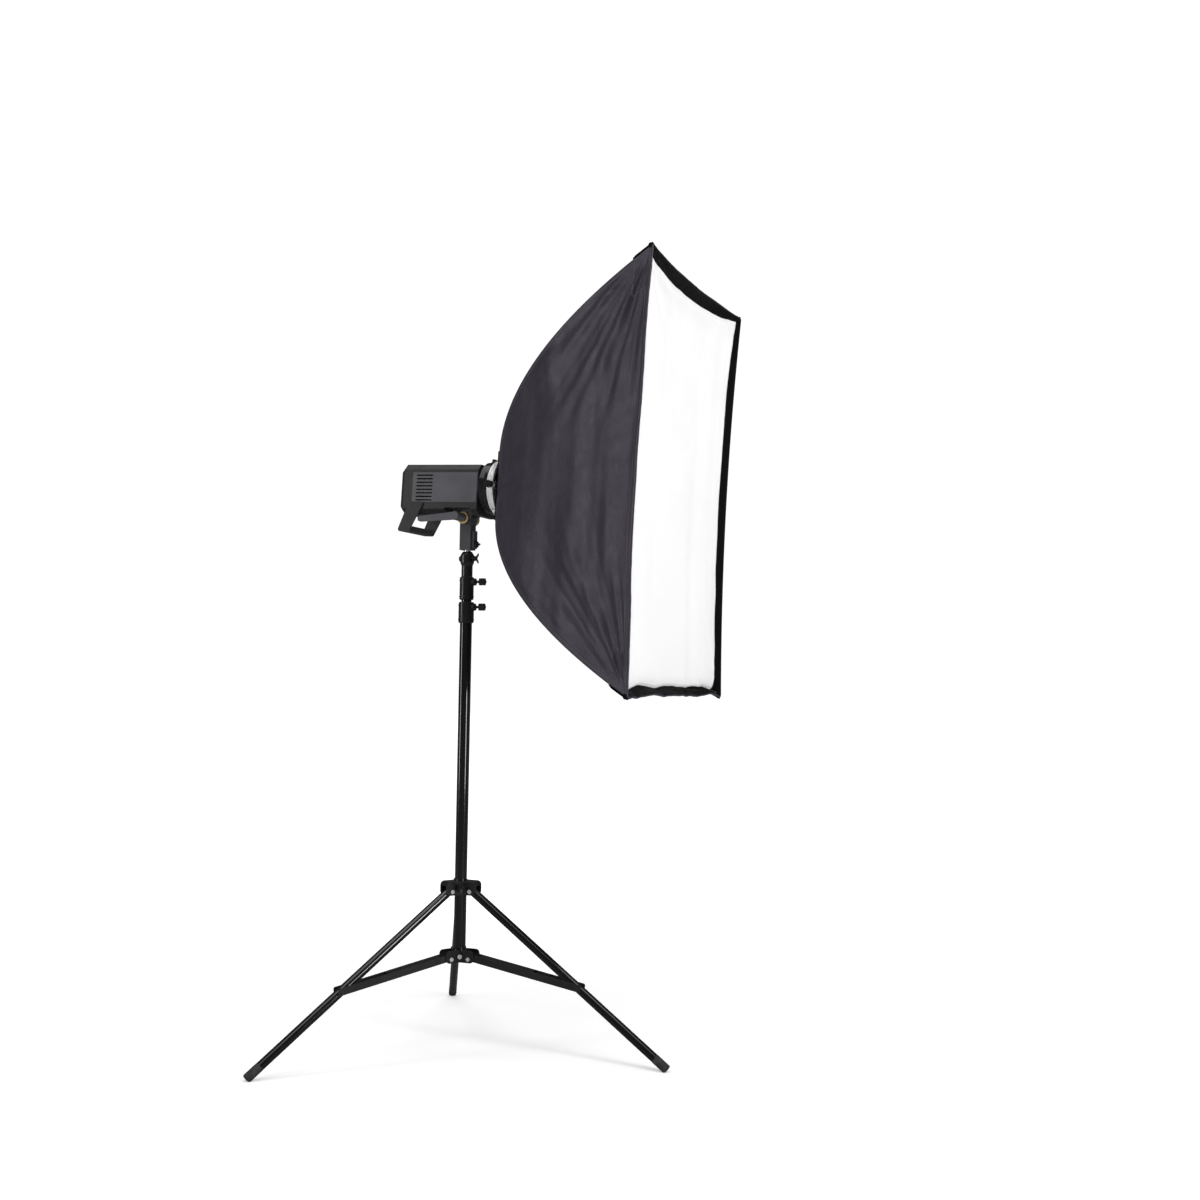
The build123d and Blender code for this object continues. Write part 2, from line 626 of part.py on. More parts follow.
def head_outline(inset, corner):
    """The head's chamfered outline, inset evenly; used inside a sketch on a YZ plane."""
    with Locations((0, SHELL_MID_Z)):
        Rectangle(2 * (SHELL_HALF_Y - inset), SHELL_TOP - SHELL_BOTTOM - 2 * inset)
    chamfer(vertices(), length=corner)


with BuildPart() as head_cavity:
    with BuildSketch(Plane.YZ.offset(SHELL_REAR)):
        head_outline(SHELL_WALL, INNER_CHAMFER)
    extrude(amount=SHELL_FRONT - SHELL_WALL - SHELL_REAR)
    with BuildSketch(Plane.XZ):
        Rectangle(2 * (TILT_BAY_HALF_X + SHELL_WALL), 2 * (TILT_BAY_TOP + SHELL_WALL))
    extrude(amount=2 * SHELL_HALF_Y, both=True, mode=Mode.SUBTRACT)

VENT_HEIGHT = (LOUVER_COUNT - 1) * LOUVER_PITCH + LOUVER_HEIGHT + 2 * VENT_MARGIN
LAMP_HOLE_R = 46.0
with BuildPart() as strobe_shell:
    with BuildSketch(Plane.YZ.offset(SHELL_REAR)):
        head_outline(0, SHELL_CHAMFER)
    extrude(amount=SHELL_FRONT - SHELL_REAR)
    with BuildSketch(Plane.XZ):
        Rectangle(2 * TILT_BAY_HALF_X, 2 * TILT_BAY_TOP)
    extrude(amount=2 * SHELL_HALF_Y, both=True, mode=Mode.SUBTRACT)
    add(head_cavity.part, mode=Mode.SUBTRACT)
    for side in (-1, 1):
        with BuildSketch(Plane.XZ.offset(side * (SHELL_HALF_Y - PANEL_POCKET))):
            with Locations(((PANEL_REAR + PANEL_FRONT) / 2, (PANEL_BOTTOM + PANEL_TOP) / 2)):
                Rectangle(PANEL_FRONT - PANEL_REAR, PANEL_TOP - PANEL_BOTTOM)
        extrude(amount=side * SHELL_WALL, mode=Mode.SUBTRACT)
    with BuildSketch(Plane.XZ):
        with Locations(((LOUVER_REAR + LOUVER_FRONT) / 2, LOUVER_MID_Z)):
            Rectangle(LOUVER_FRONT - LOUVER_REAR + 2 * VENT_MARGIN, VENT_HEIGHT)
    extrude(amount=2 * SHELL_HALF_Y, both=True, mode=Mode.SUBTRACT)
    with BuildSketch(Plane.YZ.offset(SHELL_FRONT)):
        with Locations((0, OPTIC_Z)):
            Circle(LAMP_HOLE_R)
    extrude(amount=-2 * SHELL_WALL, mode=Mode.SUBTRACT)
write(HEAD * strobe_shell.part, "strobe_shell")

with BuildPart() as side_panels:
    for side in (-1, 1):
        with BuildSketch(Plane.XZ.offset(side * (SHELL_HALF_Y - PANEL_POCKET))):
            with Locations(((PANEL_REAR + PANEL_FRONT) / 2, (PANEL_BOTTOM + PANEL_TOP) / 2)):
                Rectangle(PANEL_FRONT - PANEL_REAR, PANEL_TOP - PANEL_BOTTOM)
            with Locations(((LOUVER_REAR + LOUVER_FRONT) / 2, LOUVER_MID_Z)):
                with GridLocations(0, LOUVER_PITCH, 1, LOUVER_COUNT):
                    Rectangle(LOUVER_FRONT - LOUVER_REAR, LOUVER_HEIGHT, mode=Mode.SUBTRACT)
        extrude(amount=side * (PANEL_POCKET + PANEL_PROUD))
write(HEAD * side_panels.part, "side_panels")

SCREEN_Z = 84.0
SCREEN_WIDTH = 58.0
SCREEN_HEIGHT = 34.0
SCREEN_THICK = 1.5
DIAL_Z = 40.0
DIAL_R = 12.0
DIAL_LENGTH = 9.0
DIAL_SHAFT_R = 3.0
DIAL_FLUTES = 24
DIAL_FLUTE_R = 0.8
DIAL_MARK = 4.0  # pointer groove from the rim inwards
DIAL_MARK_WIDTH = 1.5
BUTTON_Y = 27.0
BUTTON_Z = 42.0
BUTTON_R = 4.0
BUTTON_PROUD = 2.0
BUTTON_TRAVEL = 1.0
CONTROL_WELL = 4.0  # recess that each control sits in
with BuildPart() as rear_cover:
    with BuildSketch(Plane.YZ.offset(SHELL_REAR)):
        head_outline(0, SHELL_CHAMFER)
    extrude(amount=COVER_REAR + COVER_BEVEL - SHELL_REAR)
    with BuildSketch(Plane.YZ.offset(COVER_REAR + COVER_BEVEL)):
        head_outline(0, SHELL_CHAMFER)
    extrude(amount=-COVER_BEVEL, taper=45)
    with BuildSketch(Plane.YZ.offset(SHELL_REAR)):
        head_outline(COVER_RIM, INNER_CHAMFER)
    extrude(amount=-COVER_DEPTH, mode=Mode.SUBTRACT)
    with BuildSketch(Plane.YZ.offset(COVER_REAR)):
        with Locations((0, SCREEN_Z)):
            Rectangle(SCREEN_WIDTH, SCREEN_HEIGHT)
    extrude(amount=SCREEN_THICK, mode=Mode.SUBTRACT)
    with BuildSketch(Plane.YZ.offset(COVER_REAR)):
        with Locations((0, DIAL_Z)):
            Circle(DIAL_SHAFT_R + RUNNING_GAP)
        with Locations((-BUTTON_Y, BUTTON_Z), (BUTTON_Y, BUTTON_Z)):
            Circle(BUTTON_R + RUNNING_GAP)
    extrude(amount=CONTROL_WELL, mode=Mode.SUBTRACT)
write(HEAD * rear_cover.part, "rear_cover")

with BuildPart() as screen:
    with BuildSketch(Plane.YZ.offset(COVER_REAR)):
        with Locations((0, SCREEN_Z)):
            Rectangle(SCREEN_WIDTH, SCREEN_HEIGHT)
    extrude(amount=SCREEN_THICK)
write(HEAD * screen.part, "screen")

with BuildPart() as control_dial:
    with BuildSketch(Plane.YZ.offset(COVER_REAR - SIDE_GAP)):
        with Locations((0, DIAL_Z)):
            Circle(DIAL_R)
            with PolarLocations(DIAL_R, DIAL_FLUTES):
                Circle(DIAL_FLUTE_R, mode=Mode.SUBTRACT)
    extrude(amount=-DIAL_LENGTH)
    with BuildSketch(Plane.YZ.offset(COVER_REAR - SIDE_GAP - DIAL_LENGTH)):
        with Locations((0, DIAL_Z + DIAL_R - DIAL_MARK)):
            Rectangle(DIAL_MARK_WIDTH, DIAL_MARK)
    extrude(amount=1.0, mode=Mode.SUBTRACT)
    with BuildSketch(Plane.YZ.offset(COVER_REAR - SIDE_GAP)):
        with Locations((0, DIAL_Z)):
            Circle(DIAL_SHAFT_R)
    extrude(amount=CONTROL_WELL)
write(HEAD * control_dial.part, "control_dial")

BUTTON_INNER = COVER_REAR + CONTROL_WELL - BUTTON_TRAVEL - SIDE_GAP
for side, side_name in ((-1, "right"), (1, "left")):
    with BuildPart() as button:
        with BuildSketch(Plane.YZ.offset(BUTTON_INNER)):
            with Locations((side * BUTTON_Y, BUTTON_Z)):
                Circle(BUTTON_R)
        extrude(amount=COVER_REAR - BUTTON_PROUD - BUTTON_INNER)
        fillet(button.edges().sort_by(Axis.X)[0], radius=0.8)
    write(HEAD * button.part, f"button_{side_name}")

HANDLE_THICK = 3.2
HANDLE_BAR_BOTTOM = -38.0
HANDLE_BAR_TOP = -25.0
HANDLE_BAR_REAR = -156.0
HANDLE_BAR_FRONT = -124.0
HANDLE_TOP_REAR = -129.5
HANDLE_TOP_FRONT = -89.5
HANDLE_TOP_Z = 29.5
HANDLE_SCREW_XS = (-119.0, -100.0)
HANDLE_SCREW_Z = 23.5
HANDLE_SCREW_R = 2.0
HANDLE_SCREW_HEAD = 1.0
with BuildPart() as grip_handle:
    with BuildSketch(Plane.XZ):
        with BuildLine():
            Polyline(
                (HANDLE_TOP_REAR, HANDLE_TOP_Z),
                (HANDLE_TOP_FRONT, HANDLE_TOP_Z),
                (HANDLE_BAR_FRONT, HANDLE_BAR_BOTTOM),
                (HANDLE_BAR_REAR, HANDLE_BAR_BOTTOM),
                close=True,
            )
        make_face()
        fillet(vertices().sort_by(Axis.Y)[:2], radius=6.0)
    extrude(amount=SHELL_HALF_Y + HANDLE_THICK, both=True)
    with BuildSketch(Plane.XZ):
        with Locations((0, HANDLE_BAR_TOP)):
            Rectangle(
                4 * abs(HANDLE_BAR_REAR),
                2 * HANDLE_TOP_Z - HANDLE_BAR_TOP,
                align=(Align.CENTER, Align.MIN),
            )
    extrude(amount=SHELL_HALF_Y, both=True, mode=Mode.SUBTRACT)
    for side in (-1, 1):
        with BuildSketch(Plane.XZ.offset(side * (SHELL_HALF_Y + HANDLE_THICK))):
            with Locations([(x, HANDLE_SCREW_Z) for x in HANDLE_SCREW_XS]):
                Circle(HANDLE_SCREW_R)
        extrude(amount=side * HANDLE_SCREW_HEAD)
write(HEAD * grip_handle.part, "grip_handle")

# Tilt joint: a pair of ears under the head, one each side of the bracket's cheek.
EAR_INNER = BRACKET_HALF_Y + 0.2
EAR_OUTER = 25.0
EAR_R = 13.5
LUG_HALF_X = 28.0
LUG_PLATE_BOTTOM = 15.6
with BuildPart() as tilt_lug:
    with BuildSketch(Plane.XZ):
        Circle(EAR_R)
        with BuildLine():
            Polyline(
                (-EAR_R, 0),
                (EAR_R, 0),
                (LUG_HALF_X, TILT_BAY_TOP),
                (-LUG_HALF_X, TILT_BAY_TOP),
                close=True,
            )
        make_face()
    extrude(amount=EAR_OUTER, both=True)
    with BuildSketch(Plane.XZ):
        with Locations((0, LUG_PLATE_BOTTOM)):
            Rectangle(4 * LUG_HALF_X, 4 * LUG_HALF_X, align=(Align.CENTER, Align.MAX))
    extrude(amount=EAR_INNER, both=True, mode=Mode.SUBTRACT)
    with BuildSketch(Plane.XZ):
        Circle(TILT_BOLT_R)
    extrude(amount=2 * EAR_OUTER, both=True, mode=Mode.SUBTRACT)
write(HEAD * tilt_lug.part, "tilt_lug")

WASHER_R = 14.0
WASHER = 3.0
BOLT_HEAD = 6.0
BOLT_TAIL = 20.0  # bolt beyond the washer, inside the lever's boss
BOLT_END = EAR_OUTER + WASHER + BOLT_TAIL
LEVER_INNER = EAR_OUTER + WASHER + SIDE_GAP
with BuildPart() as tilt_washers:
    for side in (-1, 1):
        with BuildSketch(Plane.XZ.offset(side * EAR_OUTER)):
            Circle(WASHER_R)
            Circle(TILT_BOLT_R, mode=Mode.SUBTRACT)
        extrude(amount=side * WASHER)
write(HEAD * tilt_washers.part, "tilt_washers")

LEVER_ARM_INNER = SHELL_HALF_Y + HANDLE_THICK + HANDLE_SCREW_HEAD + SIDE_GAP
LEVER_ARM_OUTER = LEVER_ARM_INNER + 8.0
LEVER_BOSS_R = 10.0
LEVER_ROOT_R = 9.0  # half height of the arm where it leaves the boss
LEVER_END_X = -90.0
LEVER_END_Z = -8.5
LEVER_END_R = 6.5
with BuildPart() as tilt_bolt:
    with BuildSketch(Plane.XZ.offset(-EAR_OUTER - WASHER)):
        Circle(TILT_BOLT_R)
    extrude(amount=EAR_OUTER + WASHER + BOLT_END)
    with BuildSketch(Plane.XZ.offset(-EAR_OUTER - WASHER)):
        Circle(WASHER_R)
    extrude(amount=-BOLT_HEAD)
    chamfer(tilt_bolt.edges().filter_by(GeomType.CIRCLE).sort_by(Axis.Y)[-1], length=2.0)
write(HEAD * tilt_bolt.part, "tilt_bolt")

with BuildPart() as tilt_lever:
    with BuildSketch(Plane.XZ.offset(LEVER_INNER)):
        Circle(LEVER_BOSS_R)
    extrude(amount=LEVER_ARM_OUTER - LEVER_INNER)
    with BuildSketch(Plane.XZ.offset(LEVER_ARM_INNER)):
        with BuildLine():
            Polyline(
                (0, LEVER_ROOT_R),
                (LEVER_END_X, LEVER_END_Z + LEVER_END_R),
                (LEVER_END_X, LEVER_END_Z - LEVER_END_R),
                (0, -LEVER_ROOT_R),
                close=True,
            )
        make_face()
        with Locations((LEVER_END_X, LEVER_END_Z)):
            Circle(LEVER_END_R)
    extrude(amount=LEVER_ARM_OUTER - LEVER_ARM_INNER)
    with BuildSketch(Plane.XZ.offset(LEVER_INNER)):
        Circle(TILT_BOLT_R + RUNNING_GAP)
    extrude(amount=BOLT_END + 1.0 - LEVER_INNER, mode=Mode.SUBTRACT)
write(HEAD * tilt_lever.part, "tilt_lever")

# Everything on the optical axis is drawn about the X axis and then raised to it.
OPTIC = HEAD * Location((0, 0, OPTIC_Z))
BARREL_R = 60.0
BARREL_BORE_R = 54.0
BARREL_FRONT = 76.0
BARREL_LIP = 8.0
BARREL_LIP_R = 64.0
BARREL_SLOPE = 4.0
BARREL_FLOOR = 3.0
BARREL_SEAT_R = 42.0
BAYONET_R = 50.5
BAYONET_THICK = 3.5
BAYONET_LUGS = 3
BAYONET_NOTCH = 34.0
RELEASE_REAR = 58.0
RELEASE_FRONT = 66.0
RELEASE_HALF_Y = 7.0
RELEASE_TOP = 68.0
RELEASE_TRAVEL = 1.8
RELEASE_FLANGE = 1.4
RELEASE_FLANGE_HALF_Y = 9.0
RELEASE_ROOT = BARREL_BORE_R - 1.0
with BuildPart() as front_barrel:
    with BuildSketch(Plane.XZ):
        with BuildLine():
            Polyline(
                (SHELL_FRONT, BARREL_SEAT_R),
                (SHELL_FRONT, BARREL_R - BARREL_SLOPE),
                (SHELL_FRONT + BARREL_SLOPE, BARREL_R),
                (BARREL_FRONT - BARREL_LIP - BARREL_SLOPE, BARREL_R - 2.0),
                (BARREL_FRONT - BARREL_LIP, BARREL_LIP_R),
                (BARREL_FRONT, BARREL_LIP_R),
                (BARREL_FRONT, BAYONET_R),
                (BARREL_FRONT - BAYONET_THICK, BAYONET_R),
                (BARREL_FRONT - BAYONET_THICK, BARREL_BORE_R),
                (SHELL_FRONT + BARREL_FLOOR, BARREL_BORE_R),
                (SHELL_FRONT + BARREL_FLOOR, BARREL_SEAT_R),
                close=True,
            )
        make_face()
    revolve(axis=Axis.X)
    with BuildSketch(Plane.YZ.offset(BARREL_FRONT - BAYONET_THICK)):
        with PolarLocations(BAYONET_R, BAYONET_LUGS, start_angle=90):
            Rectangle(2 * (BARREL_BORE_R - BAYONET_R), BAYONET_NOTCH)
    extrude(amount=BAYONET_THICK, mode=Mode.SUBTRACT)
    with BuildSketch(Plane.XZ):
        with Locations((RELEASE_REAR - RELEASE_TRAVEL - SIDE_GAP, BARREL_BORE_R / 2)):
            Rectangle(
                RELEASE_FRONT - RELEASE_REAR + RELEASE_TRAVEL + 2 * SIDE_GAP,
                RELEASE_TOP,
                align=(Align.MIN, Align.MIN),
            )
    extrude(amount=RELEASE_HALF_Y + RUNNING_GAP, both=True, mode=Mode.SUBTRACT)
write(OPTIC * front_barrel.part, "front_barrel")

with BuildPart() as mount_release:
    with BuildSketch(Plane.XZ):
        with Locations((RELEASE_REAR, RELEASE_ROOT)):
            Rectangle(
                RELEASE_FRONT - RELEASE_REAR,
                RELEASE_TOP - RELEASE_ROOT,
                align=(Align.MIN, Align.MIN),
            )
        fillet(vertices().sort_by(Axis.Y)[-2:], radius=2.5)
    extrude(amount=RELEASE_HALF_Y, both=True)
    with BuildSketch(Plane.XY.offset(RELEASE_ROOT)):
        with Locations((RELEASE_REAR, 0)):
            Rectangle(
                RELEASE_FRONT - RELEASE_REAR,
                2 * RELEASE_FLANGE_HALF_Y,
                align=(Align.MIN, Align.CENTER),
            )
    extrude(amount=-RELEASE_FLANGE)
write(OPTIC * mount_release.part, "mount_release")

TUBE_LOOP_R = 21.0
TUBE_R = 3.5
TUBE_X = 70.0
TUBE_LEG_REACH = TUBE_X - SHELL_FRONT - BARREL_FLOOR
SOCKET_R = BARREL_BORE_R - 1.0
SOCKET_THICK = 3.0
with BuildPart() as flash_tube:
    with BuildSketch(Plane.XZ):
        with Locations((TUBE_X, TUBE_LOOP_R)):
            Circle(TUBE_R)
    revolve(axis=Axis.X)
    with BuildSketch(Plane.YZ.offset(TUBE_X)):
        with Locations((0, TUBE_LOOP_R), (0, -TUBE_LOOP_R)):
            Circle(TUBE_R)
    extrude(amount=SOCKET_THICK - TUBE_LEG_REACH)
write(OPTIC * flash_tube.part, "flash_tube")

LAMP_R = 9.0
LAMP_LENGTH = 24.0
LAMP_COLLAR = 4.0
LAMP_COLLAR_R = 12.0
LAMP_START = SHELL_FRONT + BARREL_FLOOR + SOCKET_THICK + LAMP_COLLAR
with BuildPart() as modelling_lamp:
    with BuildSketch(Plane.YZ.offset(LAMP_START)):
        Circle(LAMP_R)
    extrude(amount=LAMP_LENGTH)
    fillet(modelling_lamp.edges().filter_by(GeomType.CIRCLE).sort_by(Axis.X)[-1], radius=LAMP_R - 1.0)
    with BuildSketch(Plane.YZ.offset(LAMP_START - LAMP_COLLAR)):
        Circle(LAMP_COLLAR_R)
    extrude(amount=LAMP_COLLAR)
    with BuildSketch(Plane.YZ.offset(SHELL_FRONT + BARREL_FLOOR)):
        Circle(SOCKET_R)
    extrude(amount=SOCKET_THICK)
write(OPTIC * modelling_lamp.part, "modelling_lamp")

DOME_R = 31.0
DOME_WALL = 2.0
DOME_START = SHELL_FRONT + BARREL_FLOOR + SOCKET_THICK
DOME_SHOULDER = DOME_START + 22.0
with BuildPart() as glass_dome:
    with BuildSketch(Plane.XZ):
        for radius, mode in ((DOME_R, Mode.ADD), (DOME_R - DOME_WALL, Mode.SUBTRACT)):
            with BuildLine():
                Line((DOME_START, 0), (DOME_START, radius))
                Line((DOME_START, radius), (DOME_SHOULDER, radius))
                RadiusArc((DOME_SHOULDER, radius), (DOME_SHOULDER + radius, 0), radius)
                Line((DOME_SHOULDER + radius, 0), (DOME_START, 0))
            make_face(mode=mode)
    revolve(axis=Axis.X)
write(OPTIC * glass_dome.part, "glass_dome")

BATTERY_FRONT = -40.0
BATTERY_HALF_Y = 40.0
BATTERY_TOP = 44.0
with BuildPart() as battery_pack:
    with BuildSketch(Plane.XY.offset(SHELL_BOTTOM + SHELL_WALL)):
        with Locations((SHELL_REAR + SIDE_GAP, 0)):
            Rectangle(
                BATTERY_FRONT - SHELL_REAR - SIDE_GAP,
                2 * BATTERY_HALF_Y,
                align=(Align.MIN, Align.CENTER),
            )
    extrude(amount=BATTERY_TOP - SHELL_BOTTOM - SHELL_WALL)
    fillet(battery_pack.edges().filter_by(Axis.Z), radius=5.0)
write(HEAD * battery_pack.part, "battery_pack")

BOARD_HALF_Y = 38.0
BOARD_THICK = 1.6
CAPACITOR_R = 16.0
CAPACITOR_LENGTH = 70.0
CAPACITOR_REAR = -50.0
CAPACITOR_PITCH = 38.0
CAPACITOR_SINK = 0.5  # each capacitor's strip of contact with the board
with BuildPart() as flash_electronics:
    with BuildSketch(Plane.XY.offset(BATTERY_TOP)):
        with Locations((SHELL_REAR + SIDE_GAP, 0)):
            Rectangle(
                SHELL_FRONT - SHELL_WALL - SHELL_REAR - SIDE_GAP,
                2 * BOARD_HALF_Y,
                align=(Align.MIN, Align.CENTER),
            )
    extrude(amount=BOARD_THICK)
    with BuildSketch(Plane.YZ.offset(CAPACITOR_REAR)):
        with GridLocations(CAPACITOR_PITCH, 0, 2, 1):
            with Locations((0, BATTERY_TOP + BOARD_THICK + CAPACITOR_R - CAPACITOR_SINK)):
                Circle(CAPACITOR_R)
    extrude(amount=CAPACITOR_LENGTH)
write(HEAD * flash_electronics.part, "flash_electronics")

FAN_REAR = -110.0
FAN_DEPTH = 12.0
FAN_HALF = 31.0
FAN_WALL_R = 28.5
FAN_BLADE_R = 27.5
FAN_HUB_R = 10.0
FAN_SPINDLE_R = 2.0
FAN_BLADES = 7
FAN_BLADE = 2.4
FAN_BLADE_PITCH = 24.0
FAN_PLATE = 1.5
FAN_SPOKE = 4.0
FAN_ROTOR = 9.5
FAN_Z = BATTERY_TOP + BOARD_THICK + FAN_HALF
with BuildPart() as fan_frame:
    with BuildSketch(Plane.YZ.offset(FAN_REAR)):
        Rectangle(2 * FAN_HALF, 2 * FAN_HALF)
        Circle(FAN_WALL_R, mode=Mode.SUBTRACT)
    extrude(amount=FAN_DEPTH)
    with BuildSketch(Plane.YZ.offset(FAN_REAR)):
        Circle(FAN_HUB_R)
        Rectangle(2 * FAN_WALL_R + 1.0, FAN_SPOKE)
    extrude(amount=FAN_PLATE)
    with BuildSketch(Plane.YZ.offset(FAN_REAR)):
        Circle(FAN_SPINDLE_R)
    extrude(amount=FAN_DEPTH)
write(HEAD * fan_frame.part.translate((0, 0, FAN_Z)), "fan_frame")

with BuildPart() as fan_rotor:
    with BuildSketch(Plane.YZ.offset(FAN_REAR + FAN_PLATE + SIDE_GAP)):
        Circle(FAN_HUB_R)
        with PolarLocations((FAN_HUB_R + FAN_BLADE_R) / 2 - 1.0, FAN_BLADES):
            with Locations(Rotation(0, 0, FAN_BLADE_PITCH)):
                Rectangle(FAN_BLADE_R - FAN_HUB_R, FAN_BLADE)
        Circle(FAN_SPINDLE_R + RUNNING_GAP, mode=Mode.SUBTRACT)
    extrude(amount=FAN_ROTOR)
write(HEAD * fan_rotor.part.translate((0, 0, FAN_Z)), "fan_rotor")

# ================================================================ speedring and rods
RIM_X = 545.0
BOX_DEPTH = 460.0
BOX_HALF_WIDTH = 305.0
BOX_HALF_HEIGHT = 457.0
APEX_X = RIM_X - BOX_DEPTH
REAR_OPENING_X = 98.5

INSERT_REAR = BARREL_FRONT
INSERT_FLANGE = 4.0
INSERT_FLANGE_R = 63.0
INSERT_TUBE_R = 54.0
INSERT_LIP = 2.0
INSERT_LIP_R = 57.0
RING_REAR = INSERT_REAR + INSERT_FLANGE + SIDE_GAP
RING_THICK = 3.0
RING_LIP_X = RING_REAR + RING_THICK + SIDE_GAP
LUG_FRONT = BARREL_FRONT - BAYONET_THICK - SIDE_GAP
LUG_DEPTH = 4.0
LUG_R = BARREL_BORE_R - 0.5
LUG_ROOT_R = BAYONET_R - SIDE_GAP
LUG_WIDTH = BAYONET_NOTCH - 4.0
LUG_HEIGHT = 10.0
INSERT_MOUTH_R = 46.5
with BuildPart() as speedring_insert:
    with BuildSketch(Plane.XZ):
        with BuildLine():
            Polyline(
                (LUG_FRONT - LUG_DEPTH, INSERT_MOUTH_R),
                (LUG_FRONT - LUG_DEPTH, LUG_ROOT_R),
                (INSERT_REAR, LUG_ROOT_R),
                (INSERT_REAR, INSERT_FLANGE_R),
                (INSERT_REAR + INSERT_FLANGE, INSERT_FLANGE_R),
                (INSERT_REAR + INSERT_FLANGE, INSERT_TUBE_R),
                (RING_LIP_X, INSERT_TUBE_R),
                (RING_LIP_X, INSERT_LIP_R),
                (RING_LIP_X + INSERT_LIP, INSERT_LIP_R),
                (RING_LIP_X + INSERT_LIP, INSERT_MOUTH_R),
                close=True,
            )
        make_face()
    revolve(axis=Axis.X)
    with BuildSketch(Plane.YZ.offset(LUG_FRONT - LUG_DEPTH)):
        with PolarLocations(BAYONET_R, BAYONET_LUGS, start_angle=30):
            Rectangle(LUG_HEIGHT, LUG_WIDTH)
        Circle(LUG_R, mode=Mode.INTERSECT)
        Circle(LUG_ROOT_R - 1.0, mode=Mode.SUBTRACT)
    extrude(amount=LUG_DEPTH)
write(OPTIC * speedring_insert.part, "speedring_insert")

RING_HUB_R = 62.0
RING_RIM_R = 76.0
RING_FRONT = 97.0
RING_BAND = 0.8
RING_SLOT_ANGLES = (-25.0, 25.0, 155.0, 205.0)
RING_SLOT_R = 69.0
RING_SLOT_WIDTH = 14.0
RING_SLOT_HEIGHT = 5.0
KNOB_BOSS_R = 6.5
KNOB_BOSS_TIP = 77.0
KNOB_BOSS_X = 92.0
HINGE_X = 97.0  # rod hinges, in the optical frame
HINGE_Z = 58.0
HINGE_Y = 37.0
HINGE_EAR_R = 5.5
HINGE_EAR_INNER = 28.0
HINGE_EAR_OUTER = 31.5
HINGE_EYE_R = 4.8
HINGE_PIN = 2.0
HINGE_PIN_END = 43.0
HINGE_NOTCH_Y = 54.0
HINGE_NOTCH_Z = 65.0
HINGE_NOTCH_HEIGHT = 30.0
HINGE_NOTCH_LENGTH = 36.0
HINGE_ROOT_X = HINGE_X - 6.5  # block joining each hinge ear to the ring
HINGE_ROOT_Z = HINGE_Z + 2.0
HINGE_ROOT_LENGTH = 12.0
HINGE_ROOT_HEIGHT = 9.0
with BuildPart() as speedring:
    with BuildSketch(Plane.XZ):
        with BuildLine():
            Polyline(
                (RING_REAR, INSERT_TUBE_R + RUNNING_GAP),
                (RING_REAR, RING_HUB_R),
                (RING_FRONT, RING_RIM_R),
                (RING_FRONT + RING_BAND, RING_RIM_R),
                (RING_FRONT + RING_BAND, RING_RIM_R - RING_THICK),
                (RING_REAR + RING_THICK, RING_HUB_R - RING_THICK / 2),
                (RING_REAR + RING_THICK, INSERT_TUBE_R + RUNNING_GAP),
                close=True,
            )
        make_face()
    revolve(axis=Axis.X)
    with BuildSketch(Plane.YZ.offset(RING_REAR)):
        for angle in RING_SLOT_ANGLES:
            with PolarLocations(RING_SLOT_R, 1, start_angle=angle):
                Rectangle(RING_SLOT_HEIGHT, RING_SLOT_WIDTH)
    extrude(amount=RING_FRONT, mode=Mode.SUBTRACT)
    with BuildSketch(Plane.XZ.offset(RING_HUB_R)):
        with Locations((KNOB_BOSS_X, 0)):
            Circle(KNOB_BOSS_R)
    extrude(amount=KNOB_BOSS_TIP - RING_HUB_R)
    with BuildSketch(Plane.XZ.offset(RING_HUB_R - 2.0)):
        with Locations((KNOB_BOSS_X, 0)):
            Circle(STUD_R + RUNNING_GAP)
    extrude(amount=RING_RIM_R, mode=Mode.SUBTRACT)
    for side in (-1, 1):
        for end in (-1, 1):
            with BuildSketch(Plane.XZ.offset(side * (HINGE_EAR_OUTER + 0.1))):
                with Locations((RING_FRONT, end * HINGE_NOTCH_Z)):
                    Rectangle(HINGE_NOTCH_LENGTH, HINGE_NOTCH_HEIGHT)
            extrude(amount=side * (HINGE_NOTCH_Y - HINGE_EAR_OUTER), mode=Mode.SUBTRACT)
            with BuildSketch(Plane.XZ.offset(side * HINGE_EAR_INNER)):
                with Locations((HINGE_X, end * HINGE_Z)):
                    Circle(HINGE_EAR_R)
                with Locations((HINGE_ROOT_X, end * HINGE_ROOT_Z)):
                    Rectangle(HINGE_ROOT_LENGTH, HINGE_ROOT_HEIGHT)
            extrude(amount=side * (HINGE_EAR_OUTER - HINGE_EAR_INNER))
            with BuildSketch(Plane.XZ.offset(side * HINGE_EAR_OUTER)):
                with Locations((HINGE_X, end * HINGE_Z)):
                    Circle(HINGE_PIN)
            extrude(amount=side * (HINGE_PIN_END - HINGE_EAR_OUTER))
write(OPTIC * speedring.part, "speedring")

